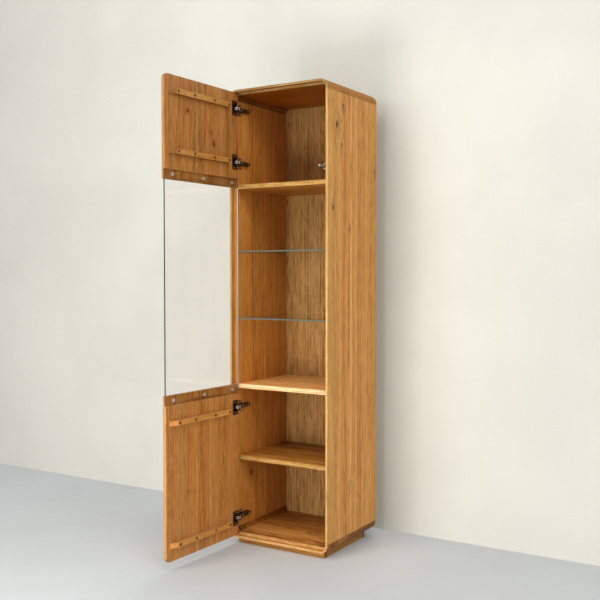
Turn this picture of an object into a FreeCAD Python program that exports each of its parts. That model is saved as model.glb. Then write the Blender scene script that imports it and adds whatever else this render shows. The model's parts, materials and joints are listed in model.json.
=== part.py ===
"""Tall display cabinet in oiled oak with one door of two wood panels and a clear glass pane between them.

The cabinet stands on a plinth. Its case is a ring of four boards with rounded corners and a rebate at the
front, which the door closes into. The door swings on four concealed cup hinges at the left and is drawn open,
as it stands at rest. Millimetres, +X to the right, +Y to the back, +Z up. The origin is the middle of the
underside of the rear plinth board, on the floor.
"""
import FreeCAD, Part
import Sketcher
import os
import re
from FreeCAD import Placement, Rotation, Vector

doc = FreeCAD.newDocument("display_cabinet")

# Driving sizes

SIZES = {
    # case
    "cab_width": 500, "cab_depth": 440, "cab_height": 2000,
    "panel_thick": 19, "rim_face": 9, "rebate_depth": 23,
    "corner_round": 36, "corner_height": 40,
    "back_thick": 6, "back_lap": 10,
    # plinth
    "plinth_height": 26, "plinth_board": 20, "plinth_side_inset": 28,
    "plinth_front_recess": 25, "plinth_back_recess": 55,
    # wooden shelves
    "shelf_thick": 18, "upper_shelf_rise": 15.5, "lower_shelf_set": 1, "shelf_front_set": 3.5,
    "loose_shelf_rise": 340, "loose_front_set": 17, "loose_side_gap": 1.5, "loose_back_gap": 2,
    # glass shelves, their heights as shares of the bay behind the pane
    "glass_shelf_thick": 6, "upper_glass_share": 0.685, "lower_glass_share": 0.3415,
    "glass_front_set": 7, "glass_side_gap": 2, "glass_back_gap": 2,
    # shelf pins
    "pin_radius": 2.5, "pin_depth": 9, "pin_reach": 8, "pin_flat": 0.6,
    "pin_collar_radius": 3.5, "pin_collar_thick": 1.2, "pin_front_set": 77, "pin_back_set": 36,
    # dowels
    "dowel_radius": 4, "dowel_reach": 14, "dowel_front_set": 50, "dowel_back_set": 60,
    # door
    "door_gap": 2, "door_rest_gap": 2, "door_thick": 19, "door_outer_round": 10, "door_inner_round": 3,
    "upper_panel_height": 416, "lower_panel_height": 672,
    "pane_thick": 6, "pane_lap": 40, "pane_side_inset": 1.5,
    "open_angle": 91.2, "swing_edge": 9.2, "swing_depth": 17.1,
    # caps and screws of the pane
    "cap_radius": 6, "cap_height": 3, "cap_side_inset": 45, "cap_wall": 1,
    "pane_screw_radius": 2, "pane_screw_reach": 9, "pane_screw_head_radius": 3.5, "pane_screw_head": 1.8,
    "pane_hole_radius": 4,
    # battens
    "batten_width": 22, "batten_thick": 20, "batten_start": 76, "batten_end_gap": 25,
    "batten_bevel": 30, "batten_tip_thick": 5, "batten_arris": 2,
    "batten_outer_inset": 66, "batten_inner_inset": 112,
    # wood screws, here and in the hinges
    "screw_radius": 2, "screw_head_radius": 4, "screw_head_depth": 2.5, "screw_reach": 11,
    "screw_sink": 0.6, "screw_end_set": 9, "screw_bevel_gap": 11,
    "low_head_radius": 4, "low_head_height": 1.4,
    # hinge places
    "hinge_top_inset": 70, "hinge_second_inset": 112, "hinge_third_inset": 101, "hinge_bottom_inset": 78,
    # hinge cup
    "cup_edge": 23, "cup_radius": 17.5, "cup_depth": 14, "cup_wall": 1,
    "flange_height": 66, "flange_side": 19, "flange_thick": 1.2, "flange_round": 6, "cup_screw_step": 52,
    "ear_gap": 0.3, "ear_thick": 1.2, "ear_end_set": 6, "ear_sink": 1,
    # hinge arm, placed from the closed door's edge and the step face
    "arm_half": 7.5, "arm_wall": 1.5, "arm_nose_radius": 3, "arm_pin_radius": 1.5,
    "arm_pin_in": 34, "arm_pin_sink": 8, "arm_web_in": 26, "arm_length": 83, "arm_deep": 8,
    "arm_neck": 0.5, "arm_bend_side": 3.5, "arm_bend_start": 9, "arm_bend_end": 17,
    "arm_cheek_start": 11, "arm_cheek_side": 1, "arm_cheek_middle": 4, "arm_throat": 2,
    "arm_screw_radius": 2, "arm_screw_head_radius": 3.4, "arm_screw_head": 0.8, "arm_screw_reach": 8,
    "arm_front_screw": 24, "arm_rear_screw": 70,
    # hinge link, from the arm pin to its free end in the cup
    "link_half": 5.8, "link_knuckle": 2.4, "link_side": 1.7,
    "link_bend_in": 2.5, "link_bend_out": 12.5, "link_end_in": 11.5, "link_end_out": 16,
    # hinge plate on the side
    "plate_thick": 3, "plate_half": 9, "plate_start": 7, "plate_length": 76,
    "block_half": 5.8, "block_start": 12, "block_length": 67,
    "wing_at": 27, "wing_width": 16, "wing_reach": 24, "wing_screw_step": 32,
    # push latch
    "latch_rise": 54.5, "latch_out": 10, "latch_front_set": 5, "latch_housing_radius": 5.2,
    "latch_housing_length": 76, "latch_bore_radius": 3.3, "latch_rod_radius": 3.25, "latch_travel": 39,
    "latch_tip_radius": 4.8, "latch_tip_length": 6, "latch_tip_gap": 1, "latch_rod_hold": 22,
    "latch_end_wall": 2, "latch_flange_half": 12, "latch_flange_thick": 2.5, "latch_flange_out": 17,
    "latch_foot_thick": 2, "latch_foot_length": 34, "latch_screw_set": 9, "latch_screw_step": 16,
    "latch_screw_head_radius": 3,
    # fits
    "fit": 0.05, "seat_gap": 0.1, "overrun": 5,
}

# Places worked out from the sizes above

PLACES = {
    "half_width": "cab_width / 2",
    "inner_half": "half_width - panel_thick",
    "rebate_half": "half_width - rim_face",
    "back_y": "plinth_back_recess + plinth_board / 2",
    "front_y": "back_y - cab_depth",
    "step_y": "front_y + rebate_depth",
    "back_face_y": "back_y - back_thick",
    "floor_board_top": "plinth_height + panel_thick",
    "ceiling": "cab_height - panel_thick",
    "upper_joint": "cab_height - corner_height",
    "lower_joint": "plinth_height + corner_height",
    "door_width": "cab_width - 2 * rim_face - 2 * door_gap",
    "door_low": "plinth_height + rim_face + door_gap",
    "door_high": "cab_height - rim_face - door_gap",
    "door_corner": "corner_round - rim_face - door_gap",
    "upper_panel_low": "door_high - upper_panel_height",
    "lower_panel_high": "door_low + lower_panel_height",
    "closed_edge_x": "-rebate_half + door_gap",
    "closed_inner_y": "step_y - door_rest_gap",
    "swing_x": "closed_edge_x + swing_edge",
    "swing_y": "closed_inner_y - swing_depth",
    # measured from the swing axis, along the door and through it
    "edge_a": "-swing_edge",
    "edge_b": "door_width - swing_edge",
    "inner_f": "swing_depth",
    "outer_f": "swing_depth - door_thick",
    "pane_low": "lower_panel_high - pane_lap",
    "pane_high": "upper_panel_low + pane_lap",
    "upper_shelf_top": "upper_panel_low + upper_shelf_rise",
    "lower_shelf_top": "lower_panel_high - lower_shelf_set",
    "display_height": "upper_shelf_top - shelf_thick - lower_shelf_top",
    "upper_glass_top": "lower_shelf_top + upper_glass_share * display_height",
    "lower_glass_top": "lower_shelf_top + lower_glass_share * display_height",
    "loose_shelf_top": "floor_board_top + loose_shelf_rise",
    "hinge_top": "door_high - hinge_top_inset",
    "hinge_second": "upper_panel_low + hinge_second_inset",
    "hinge_third": "lower_panel_high - hinge_third_inset",
    "hinge_bottom": "door_low + hinge_bottom_inset",
    "batten_top": "door_high - batten_outer_inset",
    "batten_second": "upper_panel_low + batten_inner_inset",
    "batten_third": "lower_panel_high - batten_inner_inset",
    "batten_bottom": "door_low + batten_outer_inset",
    "cup_a": "edge_a + cup_edge",
    "arm_pin_x": "closed_edge_x + arm_pin_in",
    "arm_pin_y": "step_y - arm_pin_sink",
    "arm_web_x": "closed_edge_x + arm_web_in",
    "latch_x": "inner_half - latch_out",
    "latch_y": "step_y + latch_front_set",
    "latch_height": "upper_shelf_top + latch_rise",
    "latch_tip_y": "closed_inner_y + latch_tip_gap / 2 - latch_travel",
    "pin_front_y": "step_y + pin_front_set",
    "pin_back_y": "back_face_y - pin_back_set",
    # directions across the two straight lengths of a hinge link, and at its bend
    "bend_run": "sqrt(link_bend_in ^ 2 + link_bend_out ^ 2)",
    "near_across_x": "link_bend_out / bend_run",
    "near_across_y": "-link_bend_in / bend_run",
    "end_run": "sqrt((link_end_in - link_bend_in) ^ 2 + (link_end_out - link_bend_out) ^ 2)",
    "far_across_x": "(link_end_out - link_bend_out) / end_run",
    "far_across_y": "(link_bend_in - link_end_in) / end_run",
    "bend_share": "1 + near_across_x * far_across_x + near_across_y * far_across_y",
    "bend_across_x": "(near_across_x + far_across_x) / bend_share",
    "bend_across_y": "(near_across_y + far_across_y) / bend_share",
}

sheet = doc.addObject("Spreadsheet::Sheet", "dims")
for row, (name, value) in enumerate(SIZES.items(), start=1):
    sheet.set(f"A{row}", name)
    sheet.set(f"B{row}", str(value))
    sheet.setAlias(f"B{row}", name)
doc.recompute()


def full(text):
    """An expression with each short name replaced by its cell in one of the two sheets."""
    def cell(match):
        word = match.group(0)
        if word in SIZES:
            return "dims." + word
        if word in PLACES:
            return "places." + word
        return word
    return re.sub(r"[a-z][a-z_0-9]*", cell, str(text))


places = doc.addObject("Spreadsheet::Sheet", "places")
for row, (name, formula) in enumerate(PLACES.items(), start=1):
    places.set(f"A{row}", name)
    places.setAlias(f"B{row}", name)
    places.set(f"B{row}", "=" + full(formula).replace("places.", ""))
doc.recompute()


def value(name):
    """The number that a named size or place holds now."""
    return float(getattr(sheet if name in SIZES else places, name))


# Small helpers for solids bound to the sheets

parts = []


def bind(obj, **links):
    """Ties properties to expressions. Double underscores stand for the dots of a nested property."""
    for prop, text in links.items():
        obj.setExpression(prop.replace("__", "."), full(text))
    return obj


def at(obj, x, y, z):
    return bind(obj, Placement__Base__x=x, Placement__Base__y=y, Placement__Base__z=z)


def box(name, x, y, z):
    """A block between two expressions on each axis."""
    obj = doc.addObject("Part::Box", name)
    bind(obj, Length=f"({x[1]}) - ({x[0]})", Width=f"({y[1]}) - ({y[0]})", Height=f"({z[1]}) - ({z[0]})")
    return at(obj, x[0], y[0], z[0])


TURNS = {
    "x": Rotation(Vector(0, 1, 0), 90), "y": Rotation(Vector(1, 0, 0), -90), "z": Rotation(),
    "-x": Rotation(Vector(0, 1, 0), -90), "-y": Rotation(Vector(1, 0, 0), 90),
}


def cylinder(name, axis, radius, length, x, y, z):
    """A round bar that starts at the given place and runs along the axis."""
    obj = doc.addObject("Part::Cylinder", name)
    obj.Placement = Placement(Vector(), TURNS[axis])
    bind(obj, Radius=radius, Height=length)
    return at(obj, x, y, z)


def cone(name, axis, start_radius, end_radius, length, x, y, z):
    obj = doc.addObject("Part::Cone", name)
    obj.Placement = Placement(Vector(), TURNS[axis])
    bind(obj, Radius1=start_radius, Radius2=end_radius, Height=length)
    return at(obj, x, y, z)


def fuse(name, shapes):
    if len(shapes) == 1:
        return shapes[0]
    obj = doc.addObject("Part::MultiFuse", name)
    obj.Shapes = shapes
    obj.Refine = True
    return obj


def cut(name, base, tools):
    """A piece with a list of shapes taken out of it."""
    obj = doc.addObject("Part::Cut", name)
    obj.Base = base
    obj.Tool = fuse(name + "_holes", tools)
    return obj


def common(name, base, tool):
    obj = doc.addObject("Part::Common", name)
    obj.Base = base
    obj.Tool = tool
    return obj


def group(name, solids):
    obj = doc.addObject("Part::Compound", name)
    obj.Links = solids
    return obj


def keep(obj, label):
    """Marks an object as a finished piece, under its own label."""
    obj.Label = label
    parts.append(obj)
    return obj


def hang(obj):
    """Puts a piece that was drawn round the swing axis onto the open door."""
    obj.Placement = Placement(Vector(), Rotation(Vector(0, 0, -1), value("open_angle")))
    bind(obj, Placement__Rotation__Angle="open_angle")
    return at(obj, "swing_x", "swing_y", "0")


PLANES = {"z": "XY_Plane", "y": "XZ_Plane", "x": "YZ_Plane"}


def outline_pad(name, axis, points, start, length):
    """A body with one closed outline of straight lines, pushed along an axis from start."""
    body = doc.addObject("PartDesign::Body", name)
    sketch = body.newObject("Sketcher::SketchObject", name + "_outline")
    plane = [f for f in body.Origin.OriginFeatures if f.Role == PLANES[axis]][0]
    sketch.AttachmentSupport = (plane, "")
    sketch.MapMode = "FlatFace"
    sketch.setExpression("AttachmentOffset.Base.z", full(f"-({start})" if axis == "y" else start))
    count = len(points)
    spread = Rotation(Vector(0, 0, 1), 360 / count)
    corner = Vector(value("cab_width"), 0, 0)
    for i in range(count):
        following = spread.multVec(corner)
        sketch.addGeometry(Part.LineSegment(corner, following))
        corner = following
    for i in range(count):
        sketch.addConstraint(Sketcher.Constraint("Coincident", i, 2, (i + 1) % count, 1))
    for i, (across, along) in enumerate(points):
        for kind, text in (("DistanceX", across), ("DistanceY", along)):
            index = sketch.addConstraint(Sketcher.Constraint(kind, -1, 1, i, 1, 1.0))
            sketch.setExpression(f"Constraints[{index}]", full(text))
    pad = body.newObject("PartDesign::Pad", name + "_pad")
    pad.Profile = sketch
    pad.setExpression("Length", full(length))
    pad.Reversed = axis == "y"
    doc.recompute()
    return body


def edges_where(shape, test):
    return [f"Edge{i}" for i, edge in enumerate(shape.Edges, start=1) if test(edge)]


AXES = {"x": Vector(1, 0, 0), "y": Vector(0, 1, 0), "z": Vector(0, 0, 1)}
CLOSE = 1e-4


def runs_along(edge, axis):
    """True for a straight edge parallel to an axis."""
    if edge.Curve.TypeId != "Part::GeomLine":
        return False
    return edge.tangentAt(edge.FirstParameter).cross(AXES[axis]).Length < CLOSE


def middle(edge):
    return edge.valueAt((edge.FirstParameter + edge.LastParameter) / 2)


def round_edges(body, radius, test):
    """Adds a fillet to a body, on the edges of its last feature that pass a test."""
    last = body.Tip
    fillet = body.newObject("PartDesign::Fillet", body.Name + "_round")
    fillet.Base = (last, edges_where(last.Shape, test))
    fillet.setExpression("Radius", full(radius))
    body.Tip = fillet
    doc.recompute()
    return body


def rounded_block(name, x, y, z, radius):
    """A block whose four edges along Y are rounded."""
    corners = [(x[0], z[0]), (x[1], z[0]), (x[1], z[1]), (x[0], z[1])]
    body = outline_pad(name, "y", corners, y[0], f"({y[1]}) - ({y[0]})")
    return round_edges(body, radius, lambda edge: runs_along(edge, "y"))


def ahead(axis, place, distance):
    """A place moved along an axis by an expression."""
    sign = "-" if axis.startswith("-") else "+"
    index = "xyz".index(axis[-1])
    return tuple(f"{text} {sign} ({distance})" if i == index else text for i, text in enumerate(place))


def sunk_screw(name, axis, place, length):
    """A countersunk wood screw. Place is the middle of its head's face."""
    head = cone(name + "_head", axis, "screw_head_radius", "screw_radius", "screw_head_depth", *place)
    shank = cylinder(name + "_shank", axis, "screw_radius", f"{length} - screw_head_depth",
                     *ahead(axis, place, "screw_head_depth"))
    return fuse(name, [head, shank])


def sunk_hole(name, axis, place, length):
    """The hole of a countersunk screw, open in front of its head."""
    mouth = cylinder(name + "_mouth", axis, "screw_head_radius + fit", "overrun",
                     *ahead(axis, place, "-overrun"))
    head = cone(name + "_head", axis, "screw_head_radius + fit", "screw_radius + fit",
                "screw_head_depth", *place)
    shank = cylinder(name + "_shank", axis, "screw_radius + fit", f"{length} - screw_head_depth + fit",
                     *ahead(axis, place, "screw_head_depth"))
    return fuse(name, [mouth, head, shank])


def flat_screw(name, axis, place, head_radius, head_height, radius, length):
    """A screw with a low round head that lies on a face. Place is the middle of the face."""
    back = ahead(axis, place, f"-({head_height})")
    head = cylinder(name + "_head", axis, head_radius, head_height, *back)
    shank = cylinder(name + "_shank", axis, radius, length, *place)
    return fuse(name, [head, shank])


# Joints and fastenings of the case, with their bores

SIDES = {"left": "-", "right": ""}
WAYS = {"up": "+", "down": "-"}
DOWEL_ROWS = {"front": "step_y + dowel_front_set", "back": "back_face_y - dowel_back_set"}
FIXED_SHELVES = {"upper_shelf": "upper_shelf_top", "lower_shelf": "lower_shelf_top"}
PLINTH_LINES = {"front": "front_y + plinth_front_recess + plinth_board / 2", "rear": "0"}
LEVELS = ("top", "second", "third", "bottom")

case_bores = []
dowels = []


def dowel(name, axis, place):
    """A dowel across a joint. Returns the bore for it, which both pieces get."""
    start = ahead(axis, place, "-dowel_reach")
    dowels.append(cylinder(name, axis, "dowel_radius", "2 * dowel_reach", *start))
    return cylinder(name + "_bore", axis, "dowel_radius + fit", "2 * (dowel_reach + fit)",
                    *ahead(axis, start, "-fit"))


for side, sign in SIDES.items():
    for row, depth in DOWEL_ROWS.items():
        for joint in ("upper_joint", "lower_joint"):
            place = (f"{sign}(half_width - panel_thick / 2)", depth, joint)
            case_bores.append(dowel(f"dowel_{side}_{row}_{joint}", "z", place))

shelf_bores = {shelf: [] for shelf in FIXED_SHELVES}
for shelf, top in FIXED_SHELVES.items():
    for side, sign in SIDES.items():
        for row, depth in DOWEL_ROWS.items():
            place = (f"{sign}inner_half", depth, f"{top} - shelf_thick / 2")
            shelf_bores[shelf].append(dowel(f"dowel_{shelf}_{side}_{row}", "x", place))
    case_bores += shelf_bores[shelf]

plinth_bores = {row: [] for row in PLINTH_LINES}
for row, depth in PLINTH_LINES.items():
    for side, sign in SIDES.items():
        place = (f"{sign}(inner_half - corner_round)", depth, "plinth_height")
        plinth_bores[row].append(dowel(f"dowel_plinth_{row}_{side}", "z", place))
    case_bores += plinth_bores[row]

pins = {"glass_shelf_pins": [], "loose_shelf_pins": []}
CARRIED = {
    "upper_glass": ("glass_shelf_pins", "upper_glass_top - glass_shelf_thick"),
    "lower_glass": ("glass_shelf_pins", "lower_glass_top - glass_shelf_thick"),
    "loose": ("loose_shelf_pins", "loose_shelf_top - shelf_thick"),
}
FLAT_REACH = {
    "left": ("pin_collar_thick - inner_half", "pin_reach + overrun - inner_half"),
    "right": ("inner_half - pin_reach - overrun", "inner_half - pin_collar_thick"),
}
for shelf, (node, under) in CARRIED.items():
    for side, sign in SIDES.items():
        outward = "-x" if sign else "x"
        for row in ("front", "back"):
            name = f"pin_{shelf}_{side}_{row}"
            wall = (f"{sign}inner_half", f"pin_{row}_y", f"{under} - pin_radius + pin_flat")
            bar = cylinder(name + "_bar", outward, "pin_radius", "pin_reach + pin_depth",
                           *ahead(outward, wall, "-pin_reach"))
            flat = box(name + "_flat", FLAT_REACH[side], (f"pin_{row}_y - overrun", f"pin_{row}_y + overrun"),
                       (under, f"{under} + overrun"))
            collar = cylinder(name + "_collar", outward, "pin_collar_radius", "pin_collar_thick",
                              *ahead(outward, wall, "-pin_collar_thick"))
            pins[node].append(fuse(name, [cut(name + "_flatted", bar, [flat]), collar]))
            case_bores.append(cylinder(name + "_bore", outward, "pin_radius + fit", "pin_depth + fit", *wall))

plate_screws = []
plate_screw_bores = {level: [] for level in LEVELS}
for level in LEVELS:
    for way, sign in WAYS.items():
        name = f"plate_screw_{level}_{way}"
        place = ("plate_thick - inner_half", "step_y + wing_at", f"hinge_{level} {sign} wing_screw_step / 2")
        plate_screws.append(flat_screw(name, "-x", place, "low_head_radius", "low_head_height",
                                       "screw_radius", "plate_thick + screw_reach"))
        plate_screw_bores[level].append(cylinder(name + "_bore", "-x", "screw_radius + fit",
                                                 "plate_thick + screw_reach + fit", *place))
    case_bores += plate_screw_bores[level]

latch_screws = []
latch_screw_bores = []
for way, sign in WAYS.items():
    name = f"latch_screw_{way}"
    place = ("inner_half - latch_foot_thick", "latch_y + latch_foot_length - latch_screw_set",
             f"latch_height {sign} latch_screw_step / 2")
    latch_screws.append(flat_screw(name, "x", place, "latch_screw_head_radius", "low_head_height",
                                   "screw_radius", "latch_foot_thick + screw_reach"))
    latch_screw_bores.append(cylinder(name + "_bore", "x", "screw_radius + fit",
                                      "latch_foot_thick + screw_reach + fit", *place))
case_bores += latch_screw_bores

back_screws = []
back_screw_holes = []
BACK_SCREW_SHARES = (0.03, 0.22, 0.41, 0.59, 0.78, 0.97)
for side, sign in SIDES.items():
    for i, height_share in enumerate(BACK_SCREW_SHARES, start=1):
        name = f"back_screw_{side}_{i}"
        place = (f"{sign}(inner_half + back_lap / 2)", "back_y",
                 f"floor_board_top + {height_share} * (ceiling - floor_board_top)")
        back_screws.append(sunk_screw(name, "-y", place, "back_thick + screw_reach"))
        back_screw_holes.append(sunk_hole(name + "_hole", "-y", place, "back_thick + screw_reach"))
case_bores += back_screw_holes

# The case: one rounded ring, rebated for the door and for the back, in four boards

outer = rounded_block("case_outer", ("-half_width", "half_width"), ("front_y", "back_y"),
                      ("plinth_height", "cab_height"), "corner_round")
inner = rounded_block("case_inner", ("-inner_half", "inner_half"), ("front_y - overrun", "back_y + overrun"),
                      ("floor_board_top", "ceiling"), "corner_round - panel_thick")
door_rebate = rounded_block("door_rebate", ("-rebate_half", "rebate_half"), ("front_y - overrun", "step_y"),
                            ("plinth_height + rim_face", "cab_height - rim_face"), "corner_round - rim_face")
back_rabbet = rounded_block("back_rabbet", ("-(inner_half + back_lap)", "inner_half + back_lap"),
                            ("back_face_y", "back_y + overrun"),
                            ("floor_board_top - back_lap", "ceiling + back_lap"),
                            "corner_round - panel_thick + back_lap")
ring = cut("case_ring", outer, [inner, door_rebate, back_rabbet])
bored_ring = cut("case_bored", ring, case_bores)

WHOLE_DEPTH = ("front_y - overrun", "back_y + overrun")
WHOLE_WIDTH = ("-half_width - overrun", "half_width + overrun")
BOARDS = {
    "top_panel": (WHOLE_WIDTH, ("upper_joint", "cab_height + overrun")),
    "bottom_panel": (WHOLE_WIDTH, ("plinth_height - overrun", "lower_joint")),
    "side_panel_left": (("-half_width - overrun", "0"), ("lower_joint", "upper_joint")),
    "side_panel_right": (("0", "half_width + overrun"), ("lower_joint", "upper_joint")),
}
for board, (across, along) in BOARDS.items():
    keep(common(board, bored_ring, box(board + "_limits", across, WHOLE_DEPTH, along)), board)

back_board = rounded_block("back_board",
                           ("-(inner_half + back_lap - seat_gap)", "inner_half + back_lap - seat_gap"),
                           ("back_face_y", "back_y"),
                           ("floor_board_top - back_lap + seat_gap", "ceiling + back_lap - seat_gap"),
                           "corner_round - panel_thick + back_lap - seat_gap")
keep(cut("back_panel", back_board, back_screw_holes), "back_panel")
keep(group("back_panel_screws", back_screws), "back_panel_screws")

# Plinth

PLINTH_WIDTH = ("-half_width + plinth_side_inset", "half_width - plinth_side_inset")
for row, depth in PLINTH_LINES.items():
    board = box(f"plinth_{row}_board", PLINTH_WIDTH,
                (f"{depth} - plinth_board / 2", f"{depth} + plinth_board / 2"), ("0", "plinth_height"))
    keep(cut(f"plinth_{row}", board, plinth_bores[row]), f"plinth_{row}")
PLINTH_BETWEEN = (f"{PLINTH_LINES['front']} + plinth_board / 2", "-plinth_board / 2")
PLINTH_SIDES = {
    "left": ("-half_width + plinth_side_inset", "-half_width + plinth_side_inset + plinth_board"),
    "right": ("half_width - plinth_side_inset - plinth_board", "half_width - plinth_side_inset"),
}
for side, across in PLINTH_SIDES.items():
    keep(box(f"plinth_{side}", across, PLINTH_BETWEEN, ("0", "plinth_height")), f"plinth_{side}")

# Shelves and what carries them

for shelf, top in FIXED_SHELVES.items():
    board = box(shelf + "_board", ("-inner_half", "inner_half"), ("step_y + shelf_front_set", "back_face_y"),
                (f"{top} - shelf_thick", top))
    keep(cut(shelf, board, shelf_bores[shelf]), shelf)
keep(box("loose_shelf", ("-inner_half + loose_side_gap", "inner_half - loose_side_gap"),
         ("step_y + loose_front_set", "back_face_y - loose_back_gap"),
         ("loose_shelf_top - shelf_thick", "loose_shelf_top")), "loose_shelf")
for shelf in ("upper_glass", "lower_glass"):
    keep(box(shelf + "_shelf", ("-inner_half + glass_side_gap", "inner_half - glass_side_gap"),
             ("step_y + glass_front_set", "back_face_y - glass_back_gap"),
             (f"{shelf}_top - glass_shelf_thick", f"{shelf}_top")), shelf + "_shelf")
for node, solids in pins.items():
    keep(group(node, solids), node)
keep(group("carcass_dowels", dowels), "carcass_dowels")

# Door, drawn closed round the swing axis and then hung open

cup_bores = {}
cup_screws = []
cup_screw_bores = {level: [] for level in LEVELS}
for level in LEVELS:
    cup_bores[level] = cylinder(f"cup_bore_{level}", "-y", "cup_radius + fit", "cup_depth + fit",
                                "cup_a", "inner_f", f"hinge_{level}")
    for way, sign in WAYS.items():
        name = f"cup_screw_{level}_{way}"
        place = ("cup_a", "inner_f + flange_thick", f"hinge_{level} {sign} cup_screw_step / 2")
        cup_screws.append(flat_screw(name, "-y", place, "low_head_radius", "low_head_height",
                                     "screw_radius", "flange_thick + screw_reach"))
        cup_screw_bores[level].append(cylinder(name + "_bore", "-y", "screw_radius + fit",
                                               "flange_thick + screw_reach + fit", *place))

BATTEN_SCREW_SHARES = (0, 0.304, 0.696, 1)
first_screw = "edge_a + batten_start + screw_end_set"
last_screw = "edge_b - batten_end_gap - batten_bevel - screw_bevel_gap"
batten_screws = []
batten_holes = {level: [] for level in LEVELS}
for level in LEVELS:
    for i, along_share in enumerate(BATTEN_SCREW_SHARES, start=1):
        name = f"batten_screw_{level}_{i}"
        along = f"{first_screw} + {along_share} * ({last_screw} - ({first_screw}))"
        place = (along, "inner_f + batten_thick - screw_sink", f"batten_{level}")
        reach = "batten_thick - screw_sink + screw_reach"
        batten_screws.append(sunk_screw(name, "-y", place, reach))
        batten_holes[level].append(sunk_hole(name + "_hole", "-y", place, reach))

CAP_ROW = ("edge_a + cap_side_inset", "(edge_a + edge_b) / 2", "edge_b - cap_side_inset")
CAP_LINES = {"upper": "pane_high - pane_lap / 2", "lower": "pane_low + pane_lap / 2"}
pane_screws = []
pane_caps = []
pane_bushes = []
pane_holes = []
pane_screw_bores = {line: [] for line in CAP_LINES}
for line, height in CAP_LINES.items():
    for i, along in enumerate(CAP_ROW, start=1):
        name = f"{line}_{i}"
        face = (along, "inner_f", height)
        reach = "pane_thick + pane_screw_reach"
        pane_screws.append(flat_screw("pane_screw_" + name, "-y", face, "pane_screw_head_radius",
                                      "pane_screw_head", "pane_screw_radius", reach))
        pane_screw_bores[line].append(cylinder("pane_screw_bore_" + name, "-y", "pane_screw_radius + fit",
                                               f"{reach} + fit", *face))
        pane_holes.append(cylinder("pane_hole_" + name, "-y", "pane_hole_radius", "pane_thick", *face))
        bush = cylinder("bush_outer_" + name, "-y", "pane_hole_radius - fit", "pane_thick", *face)
        bush_bore = cylinder("bush_bore_" + name, "-y", "pane_screw_radius + fit", "pane_thick", *face)
        pane_bushes.append(cut("pane_bush_" + name, bush, [bush_bore]))
        cap = cylinder("cap_outer_" + name, "y", "cap_radius", "cap_height", *face)
        hollow = cylinder("cap_hollow_" + name, "y", "cap_radius - cap_wall", "cap_height - cap_wall", *face)
        pane_caps.append(cut("pane_cap_" + name, cap, [hollow]))


def door_panel(name, low, high, rounded_end, rebate, levels, holes):
    """One wood panel of the door: rounded corners at its far end, all edges but the pane's rounded over."""
    corners = [("edge_a", low), ("edge_b", low), ("edge_b", high), ("edge_a", high)]
    body = outline_pad(name + "_blank", "y", corners, "outer_f", "door_thick")
    far = value(rounded_end)
    round_edges(body, "door_corner", lambda edge: runs_along(edge, "y") and abs(middle(edge).z - far) < CLOSE)
    plain = value(low) + value(high) - far

    def on_face(edge, face):
        flat = abs(edge.BoundBox.YMin - face) < CLOSE and abs(edge.BoundBox.YMax - face) < CLOSE
        by_pane = abs(middle(edge).z - plain) < CLOSE
        return flat and not by_pane

    round_edges(body, "door_outer_round", lambda edge: on_face(edge, value("outer_f")))
    round_edges(body, "door_inner_round", lambda edge: on_face(edge, value("inner_f")))
    pane_rebate = box(name + "_rebate", ("edge_a - overrun", "edge_b + overrun"),
                      ("inner_f - pane_thick", "inner_f + overrun"), rebate)
    tools = [pane_rebate] + holes
    for level in levels:
        tools += [cup_bores[level]] + cup_screw_bores[level] + batten_holes[level]
    return keep(hang(cut(name, body, tools)), name)


door_panel("door_panel_upper", "upper_panel_low", "door_high", "door_high",
           ("upper_panel_low - overrun", "pane_high + seat_gap"), LEVELS[:2], pane_screw_bores["upper"])
door_panel("door_panel_lower", "door_low", "lower_panel_high", "door_low",
           ("pane_low - seat_gap", "lower_panel_high + overrun"), LEVELS[2:], pane_screw_bores["lower"])

pane = box("pane_blank", ("edge_a + pane_side_inset", "edge_b - pane_side_inset"),
           ("inner_f - pane_thick", "inner_f"), ("pane_low", "pane_high"))
keep(hang(cut("door_pane", pane, pane_holes)), "door_pane")
keep(hang(group("pane_screws", pane_screws)), "pane_screws")
keep(hang(group("pane_bushes", pane_bushes)), "pane_bushes")
keep(hang(group("pane_caps", pane_caps)), "pane_caps")

for level in LEVELS:
    name = f"door_batten_{level}"
    start = "edge_a + batten_start"
    end = "edge_b - batten_end_gap"
    crown = "inner_f + batten_thick"
    side_view = [(start, "inner_f"), (end, "inner_f"), (end, "inner_f + batten_tip_thick"),
                 (f"{end} - batten_bevel", crown), (start, crown)]
    blank = outline_pad(name + "_blank", "z", side_view, f"batten_{level} - batten_width / 2",
                        "batten_width")
    face_level = value("inner_f") + value("batten_tip_thick") / 2
    round_edges(blank, "batten_arris", lambda edge: not runs_along(edge, "z") and middle(edge).y > face_level
                and not runs_along(edge, "y"))
    keep(hang(cut(name, blank, batten_holes[level])), name)
keep(hang(group("batten_screws", batten_screws)), "batten_screws")

# Hinges: cup in the door, link, arm and plate on the side

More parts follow.
